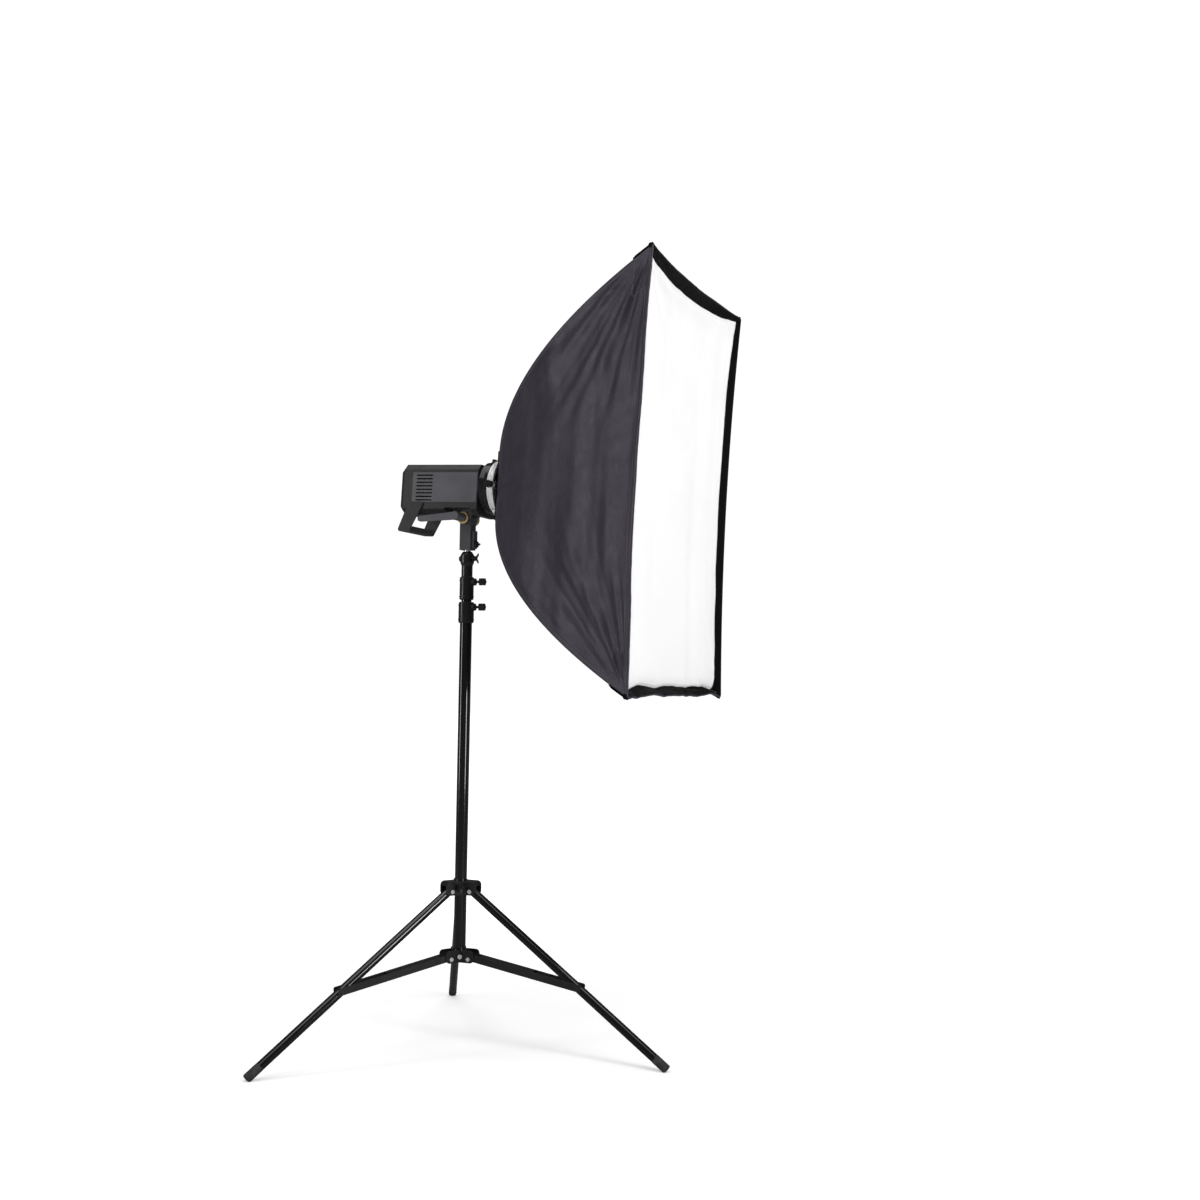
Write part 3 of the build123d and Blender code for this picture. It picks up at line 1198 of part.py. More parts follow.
RING_KNOB_R = 9.0
RING_KNOB_START = KNOB_BOSS_TIP + SIDE_GAP
RING_KNOB_LENGTH = 10.0
RING_KNOB_LOBES = 8
RING_LOBE_R = 2.5
RING_STUD_TIP = RING_HUB_R - 1.0
with BuildPart() as speedring_knob:
    with BuildSketch(Plane.XZ.offset(RING_KNOB_START)):
        with Locations((KNOB_BOSS_X, 0)):
            Circle(RING_KNOB_R - 1.0)
            with PolarLocations(RING_KNOB_R - RING_LOBE_R, RING_KNOB_LOBES):
                Circle(RING_LOBE_R)
    extrude(amount=RING_KNOB_LENGTH)
    fillet(speedring_knob.faces().sort_by(Axis.Y)[0].edges(), radius=1.0)
    with BuildSketch(Plane.XZ.offset(RING_STUD_TIP)):
        with Locations((KNOB_BOSS_X, 0)):
            Circle(STUD_R)
    extrude(amount=RING_KNOB_START - RING_STUD_TIP)
write(OPTIC * speedring_knob.part, "speedring_knob")

ROD_R = 2.0
ROD_SETBACK = 5.0  # rod centre inside each fabric panel
ROD_ROOT = 76.0  # distance out along the diagonal where the rod's holder begins
ROD_HOLDER_END = 91.0
ROD_HOLDER_R = 3.0
ROD_TIP_SETBACK = 9.0
ROD_TIP_R = 2.9
ROD_HALF_WIDTH = BOX_HALF_WIDTH - ROD_SETBACK
ROD_HALF_HEIGHT = BOX_HALF_HEIGHT - ROD_SETBACK
ROD_DIAGONAL = math.hypot(ROD_HALF_WIDTH, ROD_HALF_HEIGHT)
ROD_DEPTH = BOX_DEPTH - ROD_SETBACK


def rod_point(reach, depth):
    """A point in the upper left rod's plane, from its reach along the diagonal and depth behind the rim."""
    return Vector(
        RIM_X - depth,
        reach * ROD_HALF_WIDTH / ROD_DIAGONAL,
        reach * ROD_HALF_HEIGHT / ROD_DIAGONAL,
    )


def bow_depth(reach):
    """Depth behind the rim of the bowed rod at a reach along the diagonal."""
    return ROD_DEPTH * (1 - (reach / ROD_DIAGONAL) ** 2)


ROD_END = ROD_DIAGONAL * math.sqrt(1 - ROD_TIP_SETBACK / ROD_DEPTH)
ROD_MIDDLE = (ROD_ROOT + ROD_END) / 2
ROD_MIDDLE_DEPTH = ROD_DEPTH * (1 - ROD_ROOT * ROD_END / ROD_DIAGONAL**2)
root = rod_point(ROD_ROOT, bow_depth(ROD_ROOT))
holder_tip = rod_point(ROD_HOLDER_END, bow_depth(ROD_HOLDER_END))
eye_centre = Vector(HINGE_X, HINGE_Y, HINGE_Z)
with BuildPart() as rod:
    with BuildLine() as bow:
        Bezier(root, rod_point(ROD_MIDDLE, ROD_MIDDLE_DEPTH), rod_point(ROD_END, ROD_TIP_SETBACK))
    with BuildSketch(Plane(origin=bow.line @ 0, z_dir=bow.line % 0)):
        Circle(ROD_R)
    sweep(path=bow.line)
    with BuildSketch(Plane(origin=eye_centre, z_dir=holder_tip - eye_centre)):
        Circle(ROD_HOLDER_R)
    extrude(amount=(holder_tip - eye_centre).length)
    with BuildSketch(Plane.XZ.offset(-HINGE_EAR_OUTER - SIDE_GAP)):
        with Locations((HINGE_X, HINGE_Z)):
            Circle(HINGE_EYE_R)
    extrude(amount=HINGE_EAR_OUTER + SIDE_GAP - HINGE_PIN_END + 1.0)
    with Locations(bow.line @ 1):
        Sphere(ROD_TIP_R)
    with BuildSketch(Plane.XZ):
        with Locations((HINGE_X, HINGE_Z)):
            Circle(HINGE_PIN + RUNNING_GAP)
    extrude(amount=-2 * HINGE_PIN_END, mode=Mode.SUBTRACT)
write(OPTIC * rod.part, "rod_top_left")
write(OPTIC * rod.part.mirror(Plane.XZ), "rod_top_right")
write(OPTIC * rod.part.mirror(Plane.XY), "rod_bottom_left")
write(OPTIC * rod.part.mirror(Plane.XY).mirror(Plane.XZ), "rod_bottom_right")

# ================================================================ fabric
SKIN = 1.2  # outer nylon
LINING = 0.6  # silver lining behind it
LINING_FRONT = 514.0
DIFFUSER_X = 515.0
DIFFUSER = 1.0
LIP_X = 541.0
LIP_WIDTH = 19.0
BAFFLE_X = 330.0
BAFFLE = 0.6
ROD_NOTCH = 11.0
EDGE_GAP = 0.4


def box_envelope(inset, front):
    """The softbox's outline as a solid from its rear opening to a plane, drawn in evenly by an inset.

    A bowed profile seen from the side is crossed with one seen from above.
    """
    apex = APEX_X + inset
    depth = RIM_X - apex
    rear_share = math.sqrt((REAR_OPENING_X - apex) / depth)
    front_share = math.sqrt((front - apex) / depth)
    middle_x = RIM_X - depth * (1 - rear_share * front_share)
    half_height = BOX_HALF_HEIGHT - inset
    half_width = BOX_HALF_WIDTH - inset
    with BuildPart() as envelope:
        for plane, half, reach, mode in (
            (Plane.XZ, half_height, half_width, Mode.ADD),
            (Plane.XY, half_width, half_height, Mode.INTERSECT),
        ):
            rear_half = half * rear_share
            front_half = half * front_share
            middle = (rear_half + front_half) / 2
            with BuildSketch(plane):
                with BuildLine():
                    Bezier((front, front_half), (middle_x, middle), (REAR_OPENING_X, rear_half))
                    Line((REAR_OPENING_X, rear_half), (REAR_OPENING_X, -rear_half))
                    Bezier((REAR_OPENING_X, -rear_half), (middle_x, -middle), (front, -front_half))
                    Line((front, -front_half), (front, front_half))
                make_face()
            extrude(amount=reach, both=True, mode=mode)
    return envelope.part


def box_layer(outer_inset, inner_inset, front):
    """One layer of the softbox's wall, between two insets."""
    outside = box_envelope(outer_inset, front)
    inside = box_envelope(inner_inset, front)
    with BuildPart() as layer:
        add(outside)
        add(inside, mode=Mode.SUBTRACT)
    return layer


outer_shell = box_layer(0, SKIN, RIM_X)
write(OPTIC * outer_shell.part, "outer_shell")
inner_lining = box_layer(SKIN, SKIN + LINING, LINING_FRONT)
write(OPTIC * inner_lining.part, "inner_lining")


def cross_sheet(position, thickness, clearance):
    """A rectangular sheet across the softbox with a notch in each corner for its rod."""
    share = math.sqrt(1 - (RIM_X - position) / BOX_DEPTH)
    half_width = BOX_HALF_WIDTH * share - clearance
    half_height = BOX_HALF_HEIGHT * share - clearance
    with BuildPart() as sheet:
        with BuildSketch(Plane.YZ.offset(position)):
            Rectangle(2 * half_width, 2 * half_height)
            with GridLocations(2 * half_width, 2 * half_height, 2, 2):
                Rectangle(2 * ROD_NOTCH, 2 * ROD_NOTCH, mode=Mode.SUBTRACT)
        extrude(amount=thickness)
    return sheet


front_diffuser = cross_sheet(DIFFUSER_X, DIFFUSER, SKIN + LINING + EDGE_GAP)
write(OPTIC * front_diffuser.part, "front_diffuser")
inner_baffle = cross_sheet(BAFFLE_X, BAFFLE, SKIN + LINING + 3 * EDGE_GAP)
write(OPTIC * inner_baffle.part, "inner_baffle")

LIP_SETBACK = SKIN + 2.2
with BuildPart() as front_lip:
    with BuildSketch(Plane.YZ.offset(LIP_X)):
        Rectangle(2 * (BOX_HALF_WIDTH - LIP_SETBACK), 2 * (BOX_HALF_HEIGHT - LIP_SETBACK))
        Rectangle(
            2 * (BOX_HALF_WIDTH - LIP_WIDTH),
            2 * (BOX_HALF_HEIGHT - LIP_WIDTH),
            mode=Mode.SUBTRACT,
        )
    extrude(amount=RIM_X - LIP_X)
write(OPTIC * front_lip.part, "front_lip")
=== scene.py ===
import json
import math

import bpy
import numpy as np
from mathutils import Matrix, Vector, noise


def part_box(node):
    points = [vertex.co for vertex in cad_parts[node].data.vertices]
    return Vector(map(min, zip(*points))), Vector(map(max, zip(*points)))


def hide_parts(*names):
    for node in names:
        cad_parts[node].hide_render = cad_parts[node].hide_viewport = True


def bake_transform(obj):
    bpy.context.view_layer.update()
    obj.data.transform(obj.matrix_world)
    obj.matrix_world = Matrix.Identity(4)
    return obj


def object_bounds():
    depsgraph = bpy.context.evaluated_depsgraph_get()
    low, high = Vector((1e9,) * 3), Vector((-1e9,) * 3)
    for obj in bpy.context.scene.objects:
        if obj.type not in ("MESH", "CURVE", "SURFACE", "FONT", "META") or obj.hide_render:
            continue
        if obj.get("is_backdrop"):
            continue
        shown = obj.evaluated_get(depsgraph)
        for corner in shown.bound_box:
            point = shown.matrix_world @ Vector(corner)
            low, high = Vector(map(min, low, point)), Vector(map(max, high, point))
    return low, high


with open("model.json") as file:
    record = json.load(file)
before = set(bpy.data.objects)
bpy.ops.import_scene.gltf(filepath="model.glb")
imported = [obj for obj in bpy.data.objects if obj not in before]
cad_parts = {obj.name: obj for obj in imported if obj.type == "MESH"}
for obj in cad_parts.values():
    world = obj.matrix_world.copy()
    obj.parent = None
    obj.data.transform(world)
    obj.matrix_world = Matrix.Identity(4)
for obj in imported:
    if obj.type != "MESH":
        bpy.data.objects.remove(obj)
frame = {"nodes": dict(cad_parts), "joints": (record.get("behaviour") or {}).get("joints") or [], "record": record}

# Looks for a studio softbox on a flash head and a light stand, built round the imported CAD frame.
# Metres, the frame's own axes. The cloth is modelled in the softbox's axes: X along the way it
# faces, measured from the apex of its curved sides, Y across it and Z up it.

CAD_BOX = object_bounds()
MM = 0.001
X, Y, Z = range(3)


# ---------------------------------------------------------------- the softbox's own axes


def joint(name):
    """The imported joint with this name."""
    return next(j for j in frame["joints"] if j["name"] == name)


SPIN = joint("speedring_spin")
APEX = np.array(SPIN["pos_m"], float)
FACING = np.array(SPIN["axis"], float)
SIDEWAYS = np.array((0.0, 1.0, 0.0))
BASIS = np.array((FACING, SIDEWAYS, np.cross(FACING, SIDEWAYS)))


def to_world(points):
    """Points in the softbox's axes, in the frame."""
    return APEX + np.asarray(points) @ BASIS


def node_points(node):
    """A CAD node's vertices in the softbox's axes."""
    places = np.array([v.co for v in frame["nodes"][node].data.vertices], float)
    return (places - APEX) @ BASIS.T


SHELL = node_points("outer_shell")
DEPTH = SHELL[:, X].max()
HALF = np.abs(SHELL).max(axis=0)
REAR_SHARE = math.sqrt(SHELL[:, X].min() / DEPTH)
BAFFLE = node_points("inner_baffle")
LINING = node_points("inner_lining")
LINING_FRONT_SHARE = math.sqrt(LINING[:, X].max() / DEPTH)


COLUMN = sum((Vector(corner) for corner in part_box("base_tube")), Vector()) / 2
COLUMN.z = 0.0


# ---------------------------------------------------------------- cloth surfaces

SHELL_SKIN = 1.0 * MM
LINING_INSET = 1.8 * MM
LINING_SKIN = 0.5 * MM
CORNER_RADIUS = 5 * MM
MID_SAG = 9 * MM
RIM_SAG = 6 * MM
RIM_BOW = 12 * MM
FAN_HEIGHT = 7.0 * MM
FAN_RATE = 7.0
FAN_RISE, FAN_REACH, FAN_FADE = 0.12, 0.2, 0.32
FOLD_HEIGHT = 6.0 * MM
BILLOW_HEIGHT = 4.0 * MM
HEM_PUCKER = 1.1 * MM
PACKING_CREASE = 0.5 * MM
SEAM_HOLD = 40 * MM
REAR_HOLD = 0.12
MIDDLE_CALM = 30 * MM
TOP_WAVE = 2.5 * MM
BOTTOM_WAVE = 5.5 * MM
TOP_WAVE_RATE = 7.0
BOTTOM_WAVE_RATE = 11.0
WAVE_START = 0.86


def smooth(x):
    """A soft step from 0 to 1 as x goes from 0 to 1."""
    x = np.clip(x, 0.0, 1.0)
    return x * x * (3 - 2 * x)


def noise_at(x, y, seed):
    """Smooth noise from about -1 to 1 over a plane."""
    x, y = np.broadcast_arrays(x, y)
    values = [noise.fractal(Vector((a, b, seed)), 1.0, 2.0, 2) for a, b in zip(x.ravel(), y.ravel())]
    return np.array(values).reshape(x.shape)


def rim_wave(axis, sign, across, s):
    """How the slack rim waves between the rod tips, out of its panel."""
    if axis == Y:
        return 0.0 * s
    height, rate = (TOP_WAVE, TOP_WAVE_RATE) if sign > 0 else (BOTTOM_WAVE, BOTTOM_WAVE_RATE)
    wave = noise_at(across * rate, 0.0 * across, 31.0 + 9.0 * sign)
    return height * wave * smooth((s - WAVE_START) / (1 - WAVE_START))


def creases(axis, sign, s, t):
    """How far the stretched cloth of one panel stands out of its smooth shape."""
    width = HALF[Z if axis == Y else Y]
    behind = DEPTH * (1 - s * s)
    across = width * s * t
    seed = 3.0 * axis + sign
    height = 0.0 * (s + t)
    if axis == Y:
        across = across * smooth(np.abs(across) / MIDDLE_CALM)
    for corner in (-1, 1):
        from_corner = width - corner * across
        reach = np.hypot(behind, from_corner)
        angle = np.arctan2(from_corner, behind)
        fade = smooth(reach / FAN_RISE) * (1 - smooth((reach - FAN_REACH) / FAN_FADE))
        fan = noise_at(angle * FAN_RATE, reach * 1.4, seed + 11.0 * corner)
        height += FAN_HEIGHT * fade * fan
    height += FOLD_HEIGHT * noise_at(behind * 15.0, across * 2.4, seed + 5.0)
    height += BILLOW_HEIGHT * noise_at(behind * 5.0, across * 4.5, seed + 7.0)
    height += HEM_PUCKER * noise_at(across * 40.0, behind * 20.0, seed + 17.0) * np.exp(-behind / 0.03)
    if axis == Y:
        height += PACKING_CREASE * np.exp(-((width * s * t / (4 * MM)) ** 2)) * smooth((behind - 0.2) / 0.1)
    edge = width * s * (1 - np.abs(t))
    held = smooth(edge / SEAM_HOLD) * smooth((s - REAR_SHARE) / REAR_HOLD)
    return held * (height + rim_wave(axis, sign, across, s))


def unit(vectors):
    return vectors / np.linalg.norm(vectors, axis=-1, keepdims=True)


def panel_normal(axis, sign, s):
    """The outward normal of a panel's smooth shape."""
    normal = np.zeros(np.shape(s) + (3,))
    normal[..., X] = -HALF[axis]
    normal[..., axis] = sign * 2 * DEPTH * s
    return unit(normal)


def panel(axis, sign, s, t, inset=0.0):
    """Points of one panel: s runs from the apex to the rim, t across from corner to corner."""
    s, t = np.broadcast_arrays(np.asarray(s, float), np.asarray(t, float))
    other = Z if axis == Y else Y
    points = np.zeros(s.shape + (3,))
    points[..., X] = DEPTH * s * s
    points[..., axis] = sign * HALF[axis] * s
    points[..., other] = HALF[other] * s * t
    normal = panel_normal(axis, sign, s)
    points -= np.asarray(inset)[..., None] * mitred(axis, sign, s, t)
    rise = (s - REAR_SHARE) / (1 - REAR_SHARE)
    hollow = 1 - t * t
    sag = hollow * (MID_SAG * 4 * rise * (1 - rise) + RIM_SAG * rise**2)
    points += normal * (creases(axis, sign, s, t) - sag)[..., None]
    points[..., X] -= RIM_BOW * hollow * smooth(rise) ** 4
    return points


def mitred(axis, sign, s, t):
    """The way an inner layer steps in from a panel, so that two panels' layers meet at their corner."""
    other = Z if axis == Y else Y
    normal = panel_normal(axis, sign, s)
    neighbour = np.where(t[..., None] > 0, panel_normal(other, 1, s), panel_normal(other, -1, s))
    shared = 1 + np.sum(normal * neighbour, axis=-1, keepdims=True)
    corner = (normal + neighbour) / shared
    return normal + np.abs(t)[..., None] * (corner - normal)


def slant(axis):
    """Surface length per unit of s near the rim of a panel."""
    return math.hypot(2 * DEPTH, HALF[axis])


# ---------------------------------------------------------------- half rings round the box

SIDE_STEPS = 60
TOP_STEPS = 76
ARC_STEPS = 4


class Ring:
    """The columns of a half box: from one side's middle over the top, or under the bottom, to the other's."""

    def __init__(self, up):
        climb = np.linspace(0, 1, SIDE_STEPS)
        span = np.linspace(-1, 1, TOP_STEPS)
        turn = np.linspace(0, math.pi / 2, ARC_STEPS + 2)[1:-1]
        self.up = up
        self.parts = (
            ("side", -1, climb),
            ("arc", -1, turn),
            ("top", up, span),
            ("arc", 1, turn[::-1]),
            ("side", 1, climb[::-1]),
        )
        self.columns = 2 * SIDE_STEPS + TOP_STEPS + 2 * ARC_STEPS

    def placed_parts(self):
        """Each part with the slice of the columns that it fills."""
        start = 0
        for kind, sign, steps in self.parts:
            yield kind, sign, steps, slice(start, start + len(steps))
            start += len(steps)

    def surface(self, s, inset=0.0):
        """Points for every row and column. s and inset hold a value for each."""
        s = np.broadcast_to(s, (np.shape(s)[0], self.columns))
        inset = np.broadcast_to(inset, s.shape)
        found = []
        for kind, sign, steps, column in self.placed_parts():
            part_s, part_inset = s[:, column], inset[:, column]
            radius = CORNER_RADIUS * np.minimum(1.0, 4 * part_s)
            if kind == "side":
                t = self.up * steps * (1 - radius / (HALF[Z] * part_s))
                found.append(panel(Y, sign, part_s, t, part_inset))
            elif kind == "top":
                t = steps * (1 - radius / (HALF[Y] * part_s))
                found.append(panel(Z, sign, part_s, t, part_inset))
            else:
                found.append(self.arc(sign, part_s, steps, radius, part_inset))
        return np.concatenate(found, axis=1)

    def arc(self, sign, s, turn, radius, inset):
        """The rounded corner between a side and the top or bottom."""
        points = np.zeros(s.shape + (3,))
        points[..., X] = DEPTH * s * s
        points[..., Y] = sign * (HALF[Y] * s - radius * (1 - np.cos(turn)))
        points[..., Z] = self.up * (HALF[Z] * s - radius * (1 - np.sin(turn)))
        side = panel_normal(Y, sign, s)
        top = panel_normal(Z, self.up, s)
        corner = (side + top) / (1 + np.sum(side * top, axis=-1, keepdims=True))
        return points - inset[..., None] * corner

    def edge_distance(self, s):
        """How far each point is from the nearest corner seam."""
        s = np.broadcast_to(s, (np.shape(s)[0], self.columns))
        found = []
        for kind, _, steps, column in self.placed_parts():
            width = {"side": HALF[Z], "top": HALF[Y], "arc": 0.0}[kind]
            found.append(width * s[:, column] * (1 - np.abs(steps)))
        return np.concatenate(found, axis=1)

    def around(self):
        """The distance round the rim to each column."""
        rim = self.surface(np.ones((1, 1)))[0]
        steps = np.linalg.norm(np.diff(rim, axis=0), axis=1)
        return np.concatenate(([0.0], np.cumsum(steps)))

    def by_side(self, side_value, top_value, corner_value, side_curve, top_curve):
        """A value for each column: the sides' and the top's middle ones, turning to the corner's."""
        found = []
        for kind, _, steps in self.parts:
            middle = {"side": side_value, "top": top_value, "arc": corner_value}[kind]
            power = {"side": side_curve, "top": top_curve, "arc": 1}[kind]
            near_corner = np.abs(steps) ** power
            found.append(middle + near_corner * (corner_value - middle))
        return np.concatenate(found)


# ---------------------------------------------------------------- mesh building

FAR_FROM_SEAM = 1.0


class Cloth:
    """Gathers grids of points into one mesh, with a map in metres and a distance to the nearest seam."""

    def __init__(self, name):
        self.name = name
        self.points, self.faces, self.maps, self.seams = [], [], [], []
        self.count = 0

    def grid(self, points, across, along, seam=FAR_FROM_SEAM, outward=None):
        """Adds a grid of points. Across and along are its map, and seam its distance to a seam."""
        rows, columns = points.shape[:2]
        across = np.broadcast_to(across, (rows, columns))
        along = np.broadcast_to(along, (rows, columns))
        seam = np.broadcast_to(seam, (rows, columns))
        index = self.count + np.arange(rows * columns).reshape(rows, columns)
        quads = np.stack((index[:-1, :-1], index[:-1, 1:], index[1:, 1:], index[1:, :-1]), axis=-1)
        if outward is not None and self.faces_against(points, outward):
            quads = quads[..., ::-1]
        self.points.append(points.reshape(-1, 3))
        self.maps.append(np.stack((across, along), axis=-1).reshape(-1, 2))
        self.seams.append(seam.ravel())
        self.faces.append(quads.reshape(-1, 4))
        self.count += rows * columns

    @staticmethod
    def faces_against(points, outward):
        """Whether the grid's faces point away from the wanted side."""
        turn = np.cross(points[:-1, 1:] - points[:-1, :-1], points[1:, :-1] - points[:-1, :-1])
        return np.sum(turn * np.broadcast_to(outward, turn.shape)) < 0

    @staticmethod
    def sharpen_borders(mesh):
        """Keeps the thickness of a sheet's border out of the shading of its face."""
        sides = np.empty(len(mesh.loops), np.int32)
        mesh.loops.foreach_get("edge_index", sides)
        lone = np.bincount(sides, minlength=len(mesh.edges)) < 2
        mesh.attributes.new("sharp_edge", "BOOLEAN", "EDGE").data.foreach_set("value", lone)

    def build(self, material, thickness=0.0):
        """Makes the object, in the frame, with the sheet's thickness as a modifier."""
        mesh = bpy.data.meshes.new(self.name)
        points = to_world(np.concatenate(self.points))
        faces = np.concatenate(self.faces)
        mesh.from_pydata(points.tolist(), [], faces.tolist())
        corners = faces.ravel()
        layer = mesh.uv_layers.new(name="cloth")
        layer.data.foreach_set("uv", np.concatenate(self.maps)[corners].ravel())
        seam = mesh.attributes.new("seam", "FLOAT", "POINT")
        seam.data.foreach_set("value", np.concatenate(self.seams).astype(np.float32))
        mesh.shade_smooth()
        self.sharpen_borders(mesh)
        mesh.materials.append(material)
        piece = bpy.data.objects.new(self.name, mesh)
        bpy.context.scene.collection.objects.link(piece)
        if thickness:
            solid = piece.modifiers.new("thickness", "SOLIDIFY")
            solid.thickness = thickness
            solid.offset = -1.0
        return piece


# ---------------------------------------------------------------- materials


class Paint:
    """One material's node tree. Each call adds a node and returns its output."""

    def __init__(self, name):
        self.material = bpy.data.materials.new(name)
        self.material.use_nodes = True
        self.tree = self.material.node_tree
        self.surface = self.tree.nodes["Principled BSDF"]
        self.coordinates = self.tree.nodes.new("ShaderNodeTexCoord")
        self.place = self.coordinates.outputs["Object"]

    def give(self, socket, value):
        """Links an output to an input, or sets a plain value on it."""
        if isinstance(value, bpy.types.NodeSocket):
            self.tree.links.new(value, socket)
        elif isinstance(value, tuple) and socket.type == "RGBA" and len(value) == 3:
            socket.default_value = (*value, 1.0)
        else:
            socket.default_value = value

    def node(self, kind, output=0, settings=None, **inputs):
        """Adds a node, sets its settings and inputs, and returns one output."""
        made = self.tree.nodes.new("ShaderNode" + kind)
        for key, value in (settings or {}).items():
            setattr(made, key, value)
        for key, value in inputs.items():
            self.give(made.inputs[key.replace("_", " ")], value)
        return made.outputs[output]

    def cloth_map(self):
        return self.node("UVMap", settings={"uv_map": "cloth"})

    def seam(self):
        """The distance to the nearest seam, in metres."""
        return self.node("Attribute", "Fac", {"attribute_name": "seam"})

    def noise(self, scale, detail=3.0, vector=None, roughness=0.5):
        return self.node(
            "TexNoise", 0, Vector=vector or self.place, Scale=scale, Detail=detail, Roughness=roughness
        )

    def stretched(self, x, y, z):
        """Coordinates scaled by a different amount along each axis."""
        return self.node("Mapping", Vector=self.place, Scale=(x, y, z))

    def math(self, operation, first, second=0.0):
        made = self.tree.nodes.new("ShaderNodeMath")
        made.operation = operation
        self.give(made.inputs[0], first)
        self.give(made.inputs[1], second)
        return made.outputs[0]

    def span(self, value, low, high, to_low=0.0, to_high=1.0):
        """A value remapped and clamped from one range to another."""
        made = self.tree.nodes.new("ShaderNodeMapRange")
        names = ("Value", "From Min", "From Max", "To Min", "To Max")
        for name, amount in zip(names, (value, low, high, to_low, to_high)):
            self.give(made.inputs[name], amount)
        return made.outputs[0]

    def mix(self, share, first, second):
        """A colour between two others."""
        made = self.tree.nodes.new("ShaderNodeMix")
        made.data_type = "RGBA"
        self.give(made.inputs[0], share)
        self.give(made.inputs[6], first)
        self.give(made.inputs[7], second)
        return made.outputs[2]

    def bump(self, height, distance, strength=1.0, normal=None):
        """A normal raised by a height from 0 to 1 over a distance in metres."""
        made = self.tree.nodes.new("ShaderNodeBump")
        made.inputs["Distance"].default_value = distance
        made.inputs["Strength"].default_value = strength
        self.give(made.inputs["Height"], height)
        if normal is not None:
            self.give(made.inputs["Normal"], normal)
        return made.outputs[0]

    def worn_edges(self, radius):
        """1 along outside and inside edges and 0 on open faces."""
        rounded = self.node("Bevel", settings={"samples": 4}, Radius=radius)
        flat = self.node("NewGeometry", "Normal")
        likeness = self.node("VectorMath", "Value", {"operation": "DOT_PRODUCT"})
        dot = likeness.node
        self.tree.links.new(rounded, dot.inputs[0])
        self.tree.links.new(flat, dot.inputs[1])
        return self.span(likeness, 0.995, 0.90)

    def finish(self, **inputs):
        """Sets the surface's inputs and returns the material."""
        for key, value in inputs.items():
            self.give(self.surface.inputs[key.replace("_", " ")], value)
        return self.material


def shade(colour, share):
    """A colour made darker or lighter by a share."""
    return tuple(channel * share for channel in colour)


def painted_metal(name, colour, roughness, coat=0.0, grain=0.00002, wear=0.25):
    """Powder or gloss paint over metal, rubbed thin along its edges and a little dusty."""
    paint = Paint(name)
    cloud = paint.noise(14.0, 4.0)
    speck = paint.noise(900.0, 2.0)
    tone = paint.mix(paint.span(cloud, 0.3, 0.7), shade(colour, 0.82), shade(colour, 1.2))
    rubbed = paint.math("MULTIPLY", paint.worn_edges(0.8 * MM), paint.span(paint.noise(160.0), 0.45, 0.62))
    rubbed = paint.math("MULTIPLY", rubbed, wear)
    tone = paint.mix(rubbed, tone, (0.30, 0.30, 0.31))
    scuff = paint.noise(40.0, 5.0, paint.stretched(1.0, 1.0, 0.12))
    gloss = paint.span(scuff, 0.35, 0.75, roughness * 0.8, roughness * 1.3)
    return paint.finish(
        Base_Color=tone,
        Roughness=gloss,
        Specular_IOR_Level=0.5,
        Coat_Weight=coat,
        Coat_Roughness=roughness * 0.4,
        Normal=paint.bump(speck, grain),
    )


def moulded_plastic(name, colour, roughness, grain=0.00004):
    """Moulded plastic with a fine sparked texture and slightly polished edges."""
    paint = Paint(name)
    speck = paint.node("TexVoronoi", "Distance", Vector=paint.place, Scale=650.0)
    cloud = paint.noise(22.0, 3.0)
    tone = paint.mix(paint.span(cloud, 0.3, 0.7), shade(colour, 0.85), shade(colour, 1.15))
    rubbed = paint.math("MULTIPLY", paint.worn_edges(0.6 * MM), 0.12)
    tone = paint.mix(rubbed, tone, tuple(channel * 0.5 + 0.2 for channel in colour))
    handled = paint.span(paint.noise(55.0, 4.0), 0.35, 0.7, roughness * 0.85, roughness * 1.15)
    return paint.finish(
        Base_Color=tone,
        Roughness=handled,
        Specular_IOR_Level=0.45,
        Normal=paint.bump(speck, grain),
    )


def bare_metal(name, colour, roughness, stretch=(1.0, 1.0, 40.0)):
    """Bare metal with fine tool marks drawn out along one way, and faint tarnish."""
    paint = Paint(name)
    lines = paint.noise(90.0, 6.0, paint.stretched(*stretch))
    tarnish = paint.noise(30.0, 3.0)
    tone = paint.mix(paint.span(tarnish, 0.35, 0.7), colour, shade(colour, 0.82))
    gloss = paint.span(lines, 0.3, 0.7, roughness * 0.7, roughness * 1.35)
    return paint.finish(
        Base_Color=tone,
        Metallic=0.55,
        Roughness=gloss,
        Normal=paint.bump(lines, 0.00001),
    )


def rubber(name, colour):
    """Soft black rubber, dusted in its pores."""
    paint = Paint(name)
    pores = paint.noise(420.0, 3.0)
    dust = paint.span(paint.noise(60.0, 4.0), 0.45, 0.75, 0.0, 0.35)
    tone = paint.mix(dust, colour, (0.09, 0.088, 0.085))
    return paint.finish(
        Base_Color=tone,
        Roughness=paint.span(pores, 0.3, 0.7, 0.62, 0.85),
        Normal=paint.bump(pores, 0.00008),
    )


def glass(name, colour, roughness, clear):
    """Glass with faint ripples: clear for a tube, frosted for a dome."""
    paint = Paint(name)
    ripple = paint.noise(70.0, 2.0)
    return paint.finish(
        Base_Color=colour,
        Roughness=paint.span(ripple, 0.3, 0.7, roughness, roughness * 1.5 + 0.01),
        Transmission_Weight=clear,
        IOR=1.47,
        Normal=paint.bump(ripple, 0.0001),
    )


